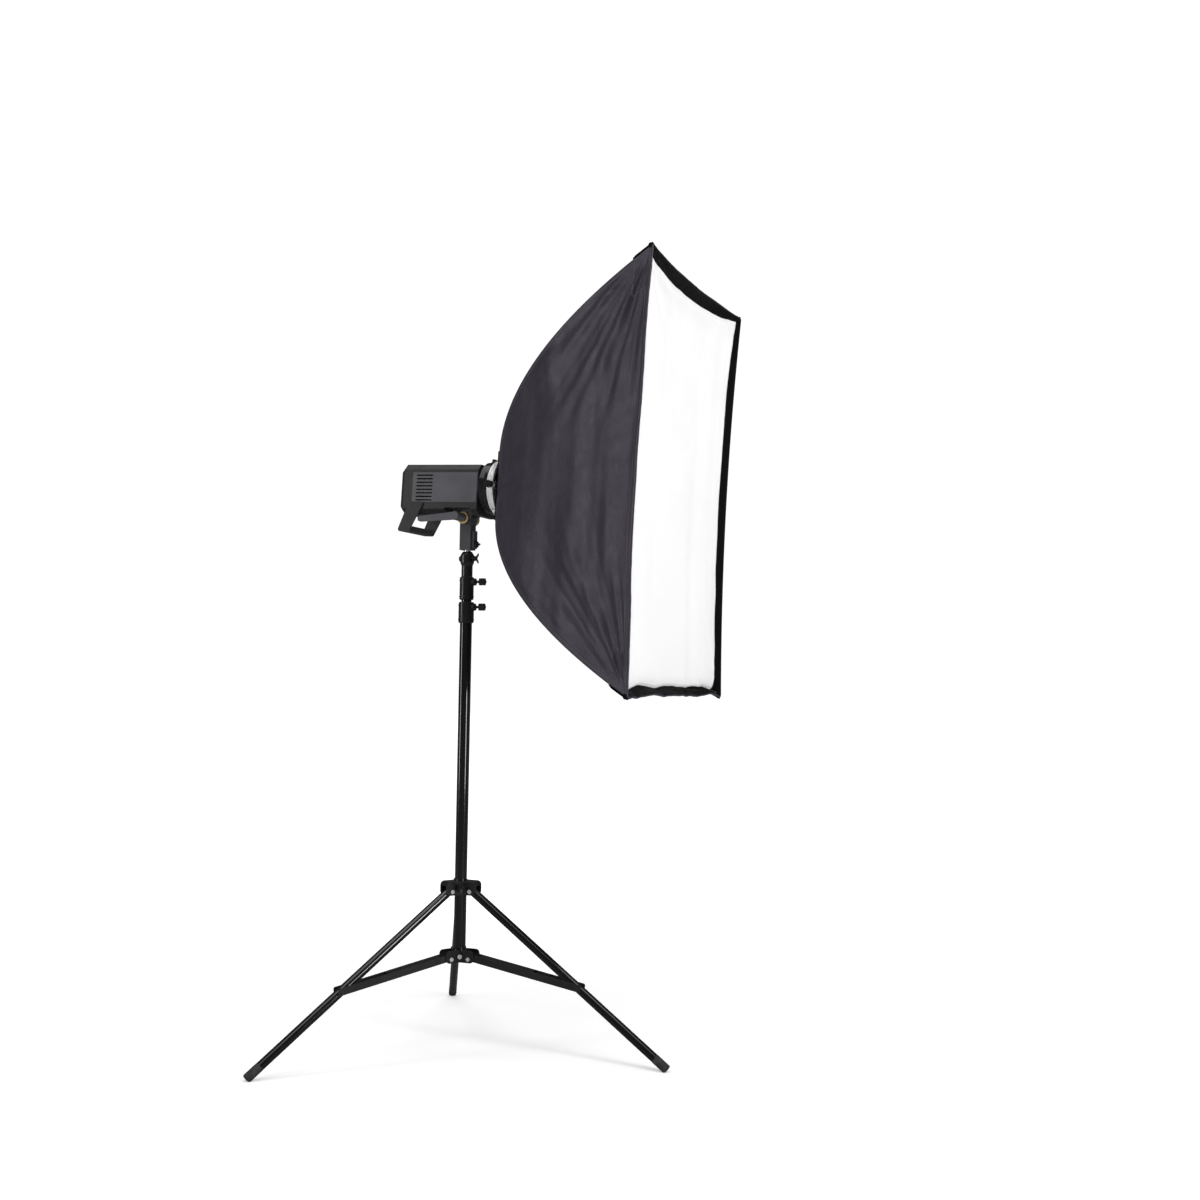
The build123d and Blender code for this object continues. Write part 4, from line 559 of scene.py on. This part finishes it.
def screen_glass(name, colour):
    """A dark display under glossy glass, with a faint cell grid and a soft smear."""
    paint = Paint(name)
    square = {"distance": "CHEBYCHEV"}
    cells = paint.node("TexVoronoi", "Distance", square, Vector=paint.place, Scale=1400.0, Randomness=0.0)
    smear = paint.noise(45.0, 4.0, paint.stretched(1.0, 0.4, 1.0))
    tone = paint.mix(paint.span(cells, 0.3, 0.5), colour, shade(colour, 1.9))
    return paint.finish(
        Base_Color=tone,
        Roughness=paint.span(smear, 0.4, 0.7, 0.05, 0.16),
        Coat_Weight=1.0,
        Coat_Roughness=0.03,
    )


def circuit_board(name, colour):
    """Green board with copper-lit tracks and solder spots."""
    paint = Paint(name)
    tracks = paint.node("TexBrick", "Fac", Vector=paint.place, Scale=240.0)
    spots = paint.node("TexVoronoi", "Distance", Vector=paint.place, Scale=260.0)
    tone = paint.mix(tracks, colour, shade(colour, 2.2))
    tone = paint.mix(paint.span(spots, 0.22, 0.16), tone, (0.55, 0.55, 0.52))
    return paint.finish(Base_Color=tone, Roughness=0.45, Normal=paint.bump(spots, 0.0002))


def weave(paint, thread):
    """A plain weave's height from 0 to 1, for threads of a given width, on the cloth map."""
    split = paint.node("SeparateXYZ", "X", Vector=paint.cloth_map()).node
    rate = math.pi / thread
    warp = paint.math("SINE", paint.math("MULTIPLY", split.outputs["X"], rate))
    weft = paint.math("SINE", paint.math("MULTIPLY", split.outputs["Y"], rate))
    over = paint.math("MULTIPLY", warp, weft)
    return paint.span(over, -1.0, 1.0)


def stitching(paint, distance, width, pitch):
    """1 on the thread of a stitch line that runs beside a seam at a distance, and 0 elsewhere."""
    off_line = paint.math("ABSOLUTE", paint.math("SUBTRACT", paint.seam(), distance))
    on_line = paint.span(off_line, width, width * 0.5)
    split = paint.node("SeparateXYZ", "X", Vector=paint.cloth_map()).node
    run = paint.math("ADD", split.outputs["X"], split.outputs["Y"])
    dash = paint.math("SINE", paint.math("MULTIPLY", run, 2 * math.pi / pitch))
    return paint.math("MULTIPLY", on_line, paint.span(dash, -0.5, 0.1))


def coated_nylon(name, colour, thread_colour):
    """Black coated nylon: a tight weave with a soft sheen, crease lines and stitched seams."""
    paint = Paint(name)
    threads = weave(paint, 0.45 * MM)
    cloud = paint.noise(9.0, 4.0)
    rubbed = paint.noise(38.0, 5.0, roughness=0.6)
    tone = paint.mix(paint.span(cloud, 0.3, 0.7), shade(colour, 0.88), shade(colour, 1.12))
    tone = paint.mix(paint.span(rubbed, 0.55, 0.8, 0.0, 0.35), tone, shade(colour, 1.5))
    stitch = stitching(paint, 7 * MM, 0.9 * MM, 4.5 * MM)
    tone = paint.mix(stitch, tone, thread_colour)
    drawn_in = paint.span(paint.math("ABSOLUTE", paint.math("SUBTRACT", paint.seam(), 7 * MM)), 0.0, 3 * MM)
    crumple = paint.noise(26.0, 4.0)
    folds = paint.bump(crumple, 0.0030, 0.45)
    seam_line = paint.bump(drawn_in, 0.0007, 0.7, folds)
    fine = paint.bump(threads, 0.00009, 0.5, seam_line)
    return paint.finish(
        Base_Color=tone,
        Roughness=paint.span(rubbed, 0.3, 0.75, 0.36, 0.5),
        Specular_IOR_Level=0.5,
        Sheen_Weight=0.12,
        Sheen_Roughness=0.35,
        Sheen_Tint=(0.60, 0.55, 0.70),
        Specular_Tint=(0.92, 0.84, 1.0, 1.0),
        Normal=fine,
    )


def diffusion_cloth(name, colour):
    """White translucent cloth, a little brighter in its doubled and stitched hem."""
    paint = Paint(name)
    threads = weave(paint, 0.5 * MM)
    cloud = paint.noise(5.0, 3.0)
    tone = paint.mix(paint.span(cloud, 0.3, 0.7), shade(colour, 0.965), colour)
    hem = paint.span(paint.seam(), 11.5 * MM, 11 * MM)
    tone = paint.mix(hem, tone, shade(colour, 0.985))
    stitch = stitching(paint, 10 * MM, 0.8 * MM, 4 * MM)
    tone = paint.mix(paint.math("MULTIPLY", stitch, 0.4), tone, (0.72, 0.73, 0.75))
    ridge = paint.bump(hem, 0.0005, 0.6)
    fine = paint.bump(threads, 0.0001, 0.35, ridge)
    return paint.finish(
        Base_Color=tone,
        Roughness=0.82,
        Sheen_Weight=0.15,
        Normal=fine,
    )


def silver_lining(name, colour):
    """Metallised cloth pressed with small dimples."""
    paint = Paint(name)
    dimples = paint.node("TexVoronoi", "Distance", Vector=paint.cloth_map(), Scale=320.0)
    crumple = paint.noise(60.0, 5.0)
    # The tone follows the crumple height: darker in the crumples' hollows as painted shade.
    tone = paint.mix(paint.span(crumple, 0.3, 0.7), shade(colour, 0.85), colour)
    pressed = paint.bump(dimples, 0.0005, 0.7)
    return paint.finish(
        Base_Color=tone,
        Metallic=0.6,
        Roughness=paint.span(crumple, 0.3, 0.7, 0.28, 0.46),
        Normal=paint.bump(crumple, 0.002, 0.5, pressed),
    )


def webbing(name, colour):
    """Black woven tape: a coarse rib with a stitched edge."""
    paint = Paint(name)
    threads = weave(paint, 0.9 * MM)
    fuzz = paint.noise(180.0, 4.0)
    # The weave's height also sets the tone: darker between the ribs as painted shade, lighter on their crowns as
    # painted highlight.
    tone = paint.mix(threads, shade(colour, 0.6), shade(colour, 1.3))
    stitch = stitching(paint, 2.6 * MM, 0.7 * MM, 4 * MM)
    tone = paint.mix(stitch, tone, shade(colour, 2.6))
    ribs = paint.bump(threads, 0.00025, 0.8)
    return paint.finish(
        Base_Color=tone,
        Roughness=paint.span(fuzz, 0.3, 0.7, 0.7, 0.9),
        Specular_IOR_Level=0.06,
        Sheen_Weight=0.01,
        Sheen_Roughness=0.5,
        Normal=paint.bump(fuzz, 0.0003, 0.4, ribs),
    )


LOOKS = {
    "black_tube": painted_metal("black_tube", (0.003, 0.003, 0.0035), 0.13, coat=0.5, grain=0.000002),
    "black_metal": painted_metal("black_metal", (0.006, 0.006, 0.0065), 0.28, coat=0.3),
    "matte_black_metal": painted_metal("matte_black_metal", (0.009, 0.009, 0.0095), 0.4),
    "grey_metal": painted_metal("grey_metal", (0.036, 0.036, 0.043), 0.42, wear=0.35),
    "steel": bare_metal("steel", (0.66, 0.66, 0.68), 0.26),
    "bright_steel": bare_metal("bright_steel", (0.82, 0.82, 0.84), 0.12, stretch=(1.0, 1.0, 60.0)),
    "silver": bare_metal("silver", (0.90, 0.90, 0.91), 0.42, stretch=(3.0, 1.0, 1.0)),
    "brass": bare_metal("brass", (0.83, 0.62, 0.27), 0.2, stretch=(1.0, 20.0, 1.0)),
    "black_plastic": moulded_plastic("black_plastic", (0.007, 0.007, 0.0075), 0.3),
    "dark_plastic": moulded_plastic("dark_plastic", (0.012, 0.012, 0.013), 0.45),
    "grey_plastic": moulded_plastic("grey_plastic", (0.058, 0.057, 0.066), 0.42),
    "knob_plastic": moulded_plastic("knob_plastic", (0.009, 0.009, 0.01), 0.16, grain=0.000006),
    "rod_fibre": moulded_plastic("rod_fibre", (0.02, 0.02, 0.02), 0.3),
    "rubber": rubber("rubber", (0.016, 0.016, 0.016)),
    "screen_glass": screen_glass("screen_glass", (0.012, 0.018, 0.022)),
    "circuit_green": circuit_board("circuit_green", (0.02, 0.12, 0.055)),
    "lamp_glass": glass("lamp_glass", (0.95, 0.95, 0.96), 0.35, 0.8),
    "tube_glass": glass("tube_glass", (0.96, 0.93, 0.88), 0.03, 0.9),
    "lamp_white": moulded_plastic("lamp_white", (0.82, 0.8, 0.74), 0.3, grain=0.00001),
    "black_nylon": coated_nylon("black_nylon", (0.018, 0.0155, 0.022), (0.075, 0.072, 0.085)),
    "silver_fabric": silver_lining("silver_fabric", (0.8, 0.8, 0.82)),
    "white_diffusion": diffusion_cloth("white_diffusion", (0.66, 0.66, 0.66)),
    "black_webbing": webbing("black_webbing", (0.0028, 0.0026, 0.0027)),
}


def finish_cad_nodes():
    """Gives each CAD node the material of its slot."""
    for part in frame["record"]["subparts"]:
        node = frame["nodes"][part["node"]]
        node.data.materials.clear()
        node.data.materials.append(LOOKS[part["material_slot"]])


# ---------------------------------------------------------------- the softbox's cloth

SHELL_ROWS = 96
HEM_WIDTH = 11 * MM
LIP_INSET = 3.6 * MM
SIDE_RECESS = 19 * MM
TOP_RECESS = 29 * MM
BOTTOM_RECESS = 31 * MM
TOP_CORNER_RECESS = 13 * MM
BOTTOM_CORNER_RECESS = 29 * MM
RECESS_WAVER = 0.11
UPPER_CURVES = (8, 3)     # how late the side's and the top's depth turn to the corner's
LOWER_CURVES = (36, 8)
BINDING_WIDTH = 5 * MM
BINDING_RADIUS = 1.8 * MM
LIP_RIPPLE = 2.2 * MM
HALVES = ((1, "upper", "rod_top_left"), (-1, "lower", "rod_bottom_left"))


def shell_rows():
    """Rows from the rear opening to the rim, closer together near both ends."""
    even = np.linspace(0, 1, SHELL_ROWS)
    crowded = even - 0.08 * np.sin(2 * math.pi * even)
    return (REAR_SHARE + (1 - REAR_SHARE) * crowded)[:, None]


def recess(ring):
    """How far behind the rim the front cloth is sewn in, for each column."""
    if ring.up > 0:
        top, corner, curves = TOP_RECESS, TOP_CORNER_RECESS, UPPER_CURVES
    else:
        top, corner, curves = BOTTOM_RECESS, BOTTOM_CORNER_RECESS, LOWER_CURVES
    around = ring.around()
    waver = 1 + RECESS_WAVER * noise_at(around * 9.0, 0.0 * around, 50.0 + ring.up)
    return ring.by_side(SIDE_RECESS, top, corner, *curves) * waver


def column_slant(ring):
    """Surface length per unit of s at each column."""
    slants = {"side": slant(Y), "top": slant(Z), "arc": slant(Z)}
    return np.concatenate([np.full(len(steps), slants[kind]) for kind, _, steps in ring.parts])


def bind(piece, rod, slot, *nodes, height=HALF[Z]):
    """Fixes half of the cloth's placement in its mesh, and hides the solids it stands for."""
    up = -1 if "bottom" in rod else 1
    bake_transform(piece)
    if nodes:
        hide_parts(*nodes)


def make_shell(up, half, rod):
    """The outer nylon: side panels and top or bottom, with stitched corners and a corner patch."""
    ring = Ring(up)
    rows = shell_rows()
    points = ring.surface(rows)
    steps = np.hypot(np.diff(DEPTH * rows[:, 0] ** 2), np.diff(HALF[Z] * rows[:, 0]))
    along = np.concatenate(([0.0], np.cumsum(steps)))
    behind = along[-1] - along
    hem = smooth((HEM_WIDTH - behind) / (1.5 * MM))
    seam = np.minimum(ring.edge_distance(rows), behind[:, None] - 4 * MM)
    normal = surface_normals(points)
    points = points + 0.5 * MM * hem[:, None, None] * normal
    cloth = Cloth(f"shell_{half}")
    cloth.grid(points, ring.around()[None, :], along[:, None], seam, outward=normal[:-1, :-1])
    rolled_hem(cloth, ring)
    for side in (-1, 1):
        corner_patch(cloth, side, up)
    piece = cloth.build(LOOKS["black_nylon"], SHELL_SKIN)
    bind(piece, rod, "black_nylon", "outer_shell")


def rolled_hem(cloth, ring):
    """The edge of the nylon, rolled over the rim and stitched down."""
    profile = [(BINDING_WIDTH, -0.9 * MM), (BINDING_WIDTH - 1.2 * MM, -1.7 * MM), (0.0, -1.5 * MM)]
    for degrees in range(-60, 61, 30):
        turn = math.radians(degrees)
        inset = BINDING_RADIUS * (0.5 + 1.3 * math.sin(turn))
        profile.append((-BINDING_RADIUS * math.cos(turn), inset))
    profile.append((1 * MM, LIP_INSET))
    back, inset = (np.array(values)[:, None] + np.zeros(ring.columns) for values in zip(*profile))
    points = ring.surface(1 - back / column_slant(ring)[None, :], inset)
    along = np.cumsum(np.linalg.norm(np.diff(points, axis=0, prepend=points[:1]), axis=-1), axis=0)
    outward = surface_normals(points)[:-1, :-1]
    cloth.grid(points, ring.around()[None, :], along, along + 2 * MM, outward=outward)


def surface_normals(points):
    """Outward unit normals of a ring's grid."""
    down_rows = np.gradient(points, axis=0)
    round_ring = np.gradient(points, axis=1)
    normal = unit(np.cross(down_rows, round_ring))
    outward = points * np.array((0.0, 1.0, 1.0))
    return normal * np.sign(np.sum(normal * outward))


EDGE_ROUNDING = 2 * MM
PATCH_BACK = 48 * MM
PATCH_DROP = 84 * MM
PATCH_LIFT = 0.9 * MM


def corner_patch(cloth, side, up):
    """The stitched patch on a side panel behind each rod tip."""
    back, drop = np.meshgrid(np.linspace(1 * MM, PATCH_BACK, 26), np.linspace(4 * MM, PATCH_DROP, 40))
    s = 1 - back / slant(Y)
    t = up * (1 - drop / (HALF[Z] * s))
    from_edge = np.minimum(PATCH_BACK - back, PATCH_DROP - drop)
    lift = PATCH_LIFT * smooth(from_edge / EDGE_ROUNDING)
    points = panel(Y, side, s, t) + panel_normal(Y, side, s) * lift[..., None]
    seam = from_edge + 4 * MM
    outward = panel_normal(Y, side, s)[:-1, :-1]
    cloth.grid(points, drop, back, seam, outward=outward)


def make_lip(up, half, rod):
    """The gathered black band behind the rim, with the pockets that hold the rods' tips."""
    ring = Ring(up)
    turned_in = recess(ring)
    around = ring.around()
    ripple = LIP_RIPPLE * noise_at(around * 24.0, 0.0 * around, 60.0 + up)
    frill = 0.5 * LIP_RIPPLE * noise_at(around * 75.0, 0.0 * around, 66.0 + up)
    share = np.concatenate(([0.0], np.linspace(0.08, 1.0, 12)))[:, None]
    back = turned_in * share
    inset = LIP_INSET - 1 * MM * (share == 0) + share * np.abs(ripple + frill)
    points = ring.surface(1 - back / column_slant(ring)[None, :], inset)
    along = np.cumsum(np.linalg.norm(np.diff(points, axis=0, prepend=points[:1]), axis=-1), axis=0)
    cloth = Cloth(f"lip_{half}")
    outward = surface_normals(points)[:-1, :-1]
    cloth.grid(points, around[None, :], along, along, outward=outward)
    for side in (-1, 1):
        rod_pocket(cloth, side, up)
    piece = cloth.build(LOOKS["black_webbing"], 0.8 * MM)
    bind(piece, rod, "black_webbing", "front_lip")


POCKET_BACK = 54 * MM
POCKET_ACROSS = 30 * MM
POCKET_RISE = 3.2 * MM
POCKET_PADDING = 0.6 * MM
POCKET_GAP = 0.3 * MM
ROD_IN_POCKET = 6 * MM
ROD_RIDGE = 7 * MM
TIP_RADIUS = 6.5 * MM


def rod_pocket(cloth, side, up):
    """The padded pocket on the top or bottom that holds a rod's tip, and its rounded end."""
    back, across = np.meshgrid(np.linspace(-2 * MM, POCKET_BACK, 34), np.linspace(0, POCKET_ACROSS, 26))
    s = 1 - back / slant(Z)
    t = side * (1 - across / (HALF[Y] * s))
    ridge = np.exp(-(((across - ROD_IN_POCKET) / ROD_RIDGE) ** 2))
    over_rod = ridge * smooth((POCKET_BACK - back) / (10 * MM))
    from_edge = np.minimum(POCKET_BACK - back, POCKET_ACROSS - across)
    lift = (POCKET_PADDING + POCKET_RISE * over_rod) * smooth(from_edge / EDGE_ROUNDING) + POCKET_GAP
    points = panel(Z, up, s, t) + panel_normal(Z, up, s) * lift[..., None]
    cloth.grid(points, across, back, from_edge, outward=panel_normal(Z, up, s)[:-1, :-1])
    around, rise = np.meshgrid(np.linspace(0, 2 * math.pi, 25), np.linspace(-math.pi / 2, math.pi / 2, 13))
    ball = np.stack((np.cos(rise) * np.cos(around), np.cos(rise) * np.sin(around), np.sin(rise)), axis=-1)
    centre = np.array((DEPTH - 3.5 * MM, side * (HALF[Y] - 3.5 * MM), up * (HALF[Z] - 3.0 * MM)))
    size = TIP_RADIUS * np.array((0.9, 1.0, 1.0))
    cloth.grid(centre + size * ball, around * TIP_RADIUS, rise * TIP_RADIUS, outward=ball[:-1, :-1])


def make_lining(up, half, rod):
    """The silver lining, just inside the nylon."""
    ring = Ring(up)
    rows = shell_rows()
    rows = np.concatenate((rows[rows < LINING_FRONT_SHARE], [LINING_FRONT_SHARE]))[:, None]
    points = ring.surface(rows, np.full((1, 1), LINING_INSET))
    along = rows * slant(Z)
    cloth = Cloth(f"lining_{half}")
    outward = surface_normals(points)[:-1, :-1]
    cloth.grid(points, ring.around()[None, :], along, ring.edge_distance(rows), outward=outward)
    piece = cloth.build(LOOKS["silver_fabric"], LINING_SKIN)
    bind(piece, rod, "silver_fabric", "inner_lining")


def edge_spaced(steps, width):
    """Places from -1 to 1, with extra ones that shape a hem along both ends."""
    marks = np.array((0.0, 3.0, 7.0, 10.5, 11.5, 14.0, 20.0, 28.0)) * MM / width
    middle = np.linspace(marks[-1] + 1.0 / steps, 1.0, steps // 2)
    half = np.concatenate((marks, middle)) - 1.0
    return np.concatenate((half[:-1], [0.0], -half[:-1][::-1]))


class FrontCloth:
    """A sheet stretched between the four sides of the box."""

    def __init__(self, edge_share):
        self.edge_share = edge_share    # function of (axis, sign, t) giving s along an edge

    def edge(self, axis, sign, t):
        return panel(axis, sign, self.edge_share(axis, sign, t), t, LIP_INSET + 1.2 * MM)

    def points(self, u, v):
        """A sheet through the four edges, for u across and v up."""
        across = 0.5 + 0.5 * u[None, :, None]
        upward = 0.5 + 0.5 * v[:, None, None]
        near, far = (self.edge(Y, sign, v)[:, None] for sign in (-1, 1))
        bottom, top = (self.edge(Z, sign, u)[None, :] for sign in (-1, 1))
        corners = [[self.edge(Y, a, np.array([b]))[0] for b in (-1.0, 1.0)] for a in (-1, 1)]
        sides = near * (1 - across) + far * across
        ends = bottom * (1 - upward) + top * upward
        low = corners[0][0] * (1 - across) + corners[1][0] * across
        high = corners[0][1] * (1 - across) + corners[1][1] * across
        sheet = sides + ends - (low * (1 - upward) + high * upward)
        middle = sheet[len(v) // 2, :, Z]
        sheet[..., Z] -= middle[None, :] * (1 - np.abs(v))[:, None]
        return sheet


DIFFUSER_BILLOW = 3 * MM
DIFFUSER_FAN = 1.6 * MM
DIFFUSER_PUCKER = 1.1 * MM
HEM_RAISE = 0.6 * MM


def make_diffuser():
    """The white front cloth, drawn tight between its hems."""
    u = edge_spaced(76, 2 * HALF[Y])
    v = edge_spaced(110, 2 * HALF[Z])
    sheet = FrontCloth(matched_share).points(u, v)
    edge_y = HALF[Y] * (1 - np.abs(u))[None, :]
    edge_z = HALF[Z] * (1 - np.abs(v))[:, None]
    edge = np.minimum(edge_y, edge_z)
    place_y, place_z = sheet[..., Y], sheet[..., Z]
    lift = DIFFUSER_BILLOW * (1 - u[None, :] ** 2) * (1 - v[:, None] ** 2)
    for side in (-1, 1):
        for up in (-1, 1):
            from_y = HALF[Y] - side * place_y
            from_z = HALF[Z] - up * place_z
            reach = np.hypot(from_y, from_z)
            angle = np.arctan2(from_z, from_y)
            fade = smooth(reach / 0.08) * (1 - smooth((reach - 0.12) / 0.2))
            lift += DIFFUSER_FAN * fade * noise_at(angle * 8.0, reach * 2.0, 70.0 + 2 * side + up)
    along = np.where(edge_y < edge_z, place_z, place_y)
    pucker = noise_at(along * 45.0, edge * 12.0, 80.0)
    lift += DIFFUSER_PUCKER * pucker * np.exp(-edge / 0.022) * smooth(edge / (3 * MM))
    lift += HEM_RAISE * smooth((11.5 * MM - edge) / (1 * MM))
    sheet[..., X] += lift
    middle = len(v) // 2
    for up, half, rod in HALVES:
        rows = slice(middle, None) if up > 0 else slice(0, middle + 1)
        cloth = Cloth(f"diffuser_{half}")
        cloth.grid(sheet[rows], place_y[rows], place_z[rows], edge[rows], outward=np.array((1.0, 0.0, 0.0)))
        piece = cloth.build(LOOKS["white_diffusion"], 0.6 * MM)
        bind(piece, rod, "white_diffusion", "front_diffuser")


def matched_share(axis, sign, t):
    """Where the lip band ends on a side, so that the front cloth starts there."""
    depth = np.interp(t, *EDGE_DEPTHS[axis, sign])
    return 1 - depth / slant(axis)


def edge_depths():
    """The lip band's depth along each side, as places across the side and depths."""
    found = {}
    for up in (1, -1):
        ring = Ring(up)
        depths = recess(ring)
        for kind, sign, steps, column in ring.placed_parts():
            if kind == "top":
                found[Z, sign] = (steps, depths[column])
            elif kind == "side":
                order = np.argsort(steps)
                t, depth = steps[order] * up, depths[column][order]
                if up < 0:
                    t, depth = t[::-1], depth[::-1]
                kept = found.get((Y, sign))
                if kept is not None:
                    t, depth = np.concatenate((t[:-1], kept[0])), np.concatenate((depth[:-1], kept[1]))
                found[Y, sign] = (t, depth)
    return found


EDGE_DEPTHS = edge_depths()

BAFFLE_BILLOW = 6 * MM
BAFFLE_PULL = 0.94
BAFFLE_WAIST = 0.05


def make_baffle():
    """The inner sheet that evens the light, hung a little slack."""
    half_y = BAFFLE_PULL * np.abs(BAFFLE[:, Y]).max()
    half_z = BAFFLE_PULL * np.abs(BAFFLE[:, Z]).max()
    u = np.linspace(-1, 1, 45)[None, :]
    v = np.linspace(-1, 1, 65)[:, None]
    middle = len(v) // 2
    middle_x = BAFFLE[:, X].mean()
    y = half_y * u * (1 - BAFFLE_WAIST * (1 - v**2)) + 0 * v
    z = half_z * v * (1 - BAFFLE_WAIST * (1 - u**2)) + 0 * u
    x = middle_x - BAFFLE_BILLOW * (1 - u**2) * (1 - v**2) + 1.5 * MM * noise_at(y * 12.0, z * 12.0, 90.0)
    sheet = np.stack((x, y, z), axis=-1)
    edge = np.minimum(half_y * (1 - np.abs(u)), half_z * (1 - np.abs(v)))
    for up, half, rod in HALVES:
        rows = slice(middle, None) if up > 0 else slice(0, middle + 1)
        cloth = Cloth(f"baffle_{half}")
        cloth.grid(sheet[rows], y[rows], z[rows], edge[rows], outward=np.array((1.0, 0.0, 0.0)))
        piece = cloth.build(LOOKS["white_diffusion"], 0.6 * MM)
        bind(piece, rod, "white_diffusion", "inner_baffle", height=half_z)


def make_rear_hem(up, half, rod):
    """The rolled hem round the rear opening, gathered onto the ring."""
    ring = Ring(up)
    around = ring.around()[None, :] * REAR_SHARE
    turn = np.linspace(0, 2 * math.pi, 13)[:, None]
    radius = 2.2 * MM * (1 + 0.12 * noise_at(around * 60.0, 0.0 * around, 95.0 + up))
    back = -2 * MM + radius * np.cos(turn)
    inset = -0.2 * MM - radius * np.sin(turn)
    points = ring.surface(REAR_SHARE - back / slant(Z), inset)
    cloth = Cloth(f"rear_hem_{half}")
    cloth.grid(points, around, turn * 2 * MM, outward=points[:-1, :-1] * (0, 1, 1))
    piece = cloth.build(LOOKS["black_webbing"])
    bind(piece, rod, "black_webbing")


def make_softbox():
    for up, half, rod in HALVES:
        make_shell(up, half, rod)
        make_lip(up, half, rod)
        make_lining(up, half, rod)
        make_rear_hem(up, half, rod)
    make_diffuser()
    make_baffle()


# ---------------------------------------------------------------- floor, light and camera


def make_floor():
    """A plain pale floor, far wider than the object, that whitens into the distance."""
    reach = 30.0
    mesh = bpy.data.meshes.new("floor")
    corners = [(-reach, -reach, 0), (reach, -reach, 0), (reach, reach, 0), (-reach, reach, 0)]
    mesh.from_pydata(corners, [], [(0, 1, 2, 3)])
    floor = bpy.data.objects.new("floor", mesh)
    floor.location = COLUMN
    bpy.context.scene.collection.objects.link(floor)
    paint = Paint("pale_floor")
    tone = paint.mix(paint.noise(3.0, 3.0), (0.90, 0.90, 0.90), (0.92, 0.92, 0.92))
    mirrored = paint.node("LightPath", "Is Glossy Ray")
    tone = paint.mix(mirrored, tone, (0.12, 0.12, 0.12))
    away = paint.node("VectorMath", "Value", {"operation": "LENGTH"}, Vector=paint.place)
    whitening = paint.span(away, 0.7, 2.4, 0.3, 0.9)
    glow = paint.math("MULTIPLY", whitening, paint.span(mirrored, 0.0, 1.0, 1.0, 0.08))
    whitened = paint.finish(
        Base_Color=tone,
        Roughness=0.9,
        Specular_IOR_Level=0.1,
        Emission_Color=(1.0, 1.0, 1.0),
        Emission_Strength=glow,
    )
    mesh.materials.append(whitened)
    floor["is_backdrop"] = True


def area_light(name, place, target, width, height, power):
    """A rectangular lamp aimed at a point."""
    lamp = bpy.data.lights.new(name, "AREA")
    lamp.shape = "RECTANGLE"
    lamp.size, lamp.size_y, lamp.energy = width, height, power
    holder = bpy.data.objects.new(name, lamp)
    bpy.context.scene.collection.objects.link(holder)
    holder.location = place
    holder.rotation_euler = (Vector(target) - Vector(place)).to_track_quat("-Z", "Y").to_euler()


LAMPS = (
    ("top_light", (0.4, -0.6, 4.2), 4.0, 4.0, 90),
    ("left_strip", (-2.6, -2.4, 1.6), 0.5, 2.6, 34),
    ("right_strip", (3.2, -1.0, 1.6), 0.6, 2.6, 56),
)


def make_light():
    """A white room: a soft top light, two tall strips beside the camera and a pale surround."""
    scene = bpy.context.scene
    scene.view_settings.view_transform = "Standard"
    world = bpy.data.worlds.new("studio")
    scene.world = world
    world.use_nodes = True
    tree = world.node_tree
    background = tree.nodes["Background"]
    seen = tree.nodes.new("ShaderNodeLightPath")
    strength = None
    for ray, amount in (("Is Camera Ray", 1.05), ("Is Diffuse Ray", 0.34), ("Is Glossy Ray", 0.07)):
        part = tree.nodes.new("ShaderNodeMath")
        part.operation = "MULTIPLY_ADD"
        part.inputs[1].default_value = amount
        part.inputs[2].default_value = 0.0
        tree.links.new(seen.outputs[ray], part.inputs[0])
        if strength is not None:
            tree.links.new(strength, part.inputs[2])
        strength = part.outputs[0]
    tree.links.new(strength, background.inputs["Strength"])
    background.inputs["Color"].default_value = (1.0, 1.0, 1.0, 1.0)
    centre = COLUMN + Vector((0.1, 0.0, 1.0))
    for name, place, width, height, power in LAMPS:
        area_light(name, COLUMN + Vector(place), centre, width, height, power)


CAMERA_BEARING = math.radians(28.22)
CAMERA_DISTANCE = 3.235
CAMERA_HEIGHT = 0.833
CAMERA_TURN = math.radians(-5.55)
CAMERA_PITCH = math.radians(3.49)
CAMERA_ROLL = math.radians(0.81)
CAMERA_LENS = 41.3
SENSOR = 36.0


def make_camera():
    """A camera low on the softbox's right, looking slightly up past the stand."""
    heading = CAMERA_BEARING + CAMERA_TURN
    right = Vector((math.cos(heading), math.sin(heading), 0.0))
    ahead = Vector((-math.sin(heading), math.cos(heading), 0.0))
    up = Vector((0.0, 0.0, 1.0))
    look = ahead * math.cos(CAMERA_PITCH) + up * math.sin(CAMERA_PITCH)
    top = up * math.cos(CAMERA_PITCH) - ahead * math.sin(CAMERA_PITCH)
    rolled_right = right * math.cos(CAMERA_ROLL) + top * math.sin(CAMERA_ROLL)
    rolled_top = top * math.cos(CAMERA_ROLL) - right * math.sin(CAMERA_ROLL)
    lens = bpy.data.cameras.new("camera")
    lens.lens, lens.sensor_width = CAMERA_LENS, SENSOR
    camera = bpy.data.objects.new("camera", lens)
    bpy.context.scene.collection.objects.link(camera)
    place = Vector((math.sin(CAMERA_BEARING), -math.cos(CAMERA_BEARING), 0.0)) * CAMERA_DISTANCE
    place += COLUMN + CAMERA_HEIGHT * up
    turned = Matrix((rolled_right, rolled_top, -look)).transposed().to_4x4()
    camera.matrix_world = Matrix.Translation(place) @ turned
    bpy.context.scene.camera = camera


finish_cad_nodes()
make_softbox()
make_floor()
make_light()
make_camera()

boxes = {"cad": CAD_BOX, "visual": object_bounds()}
{name: [list(corner) for corner in box] for name, box in boxes.items()}
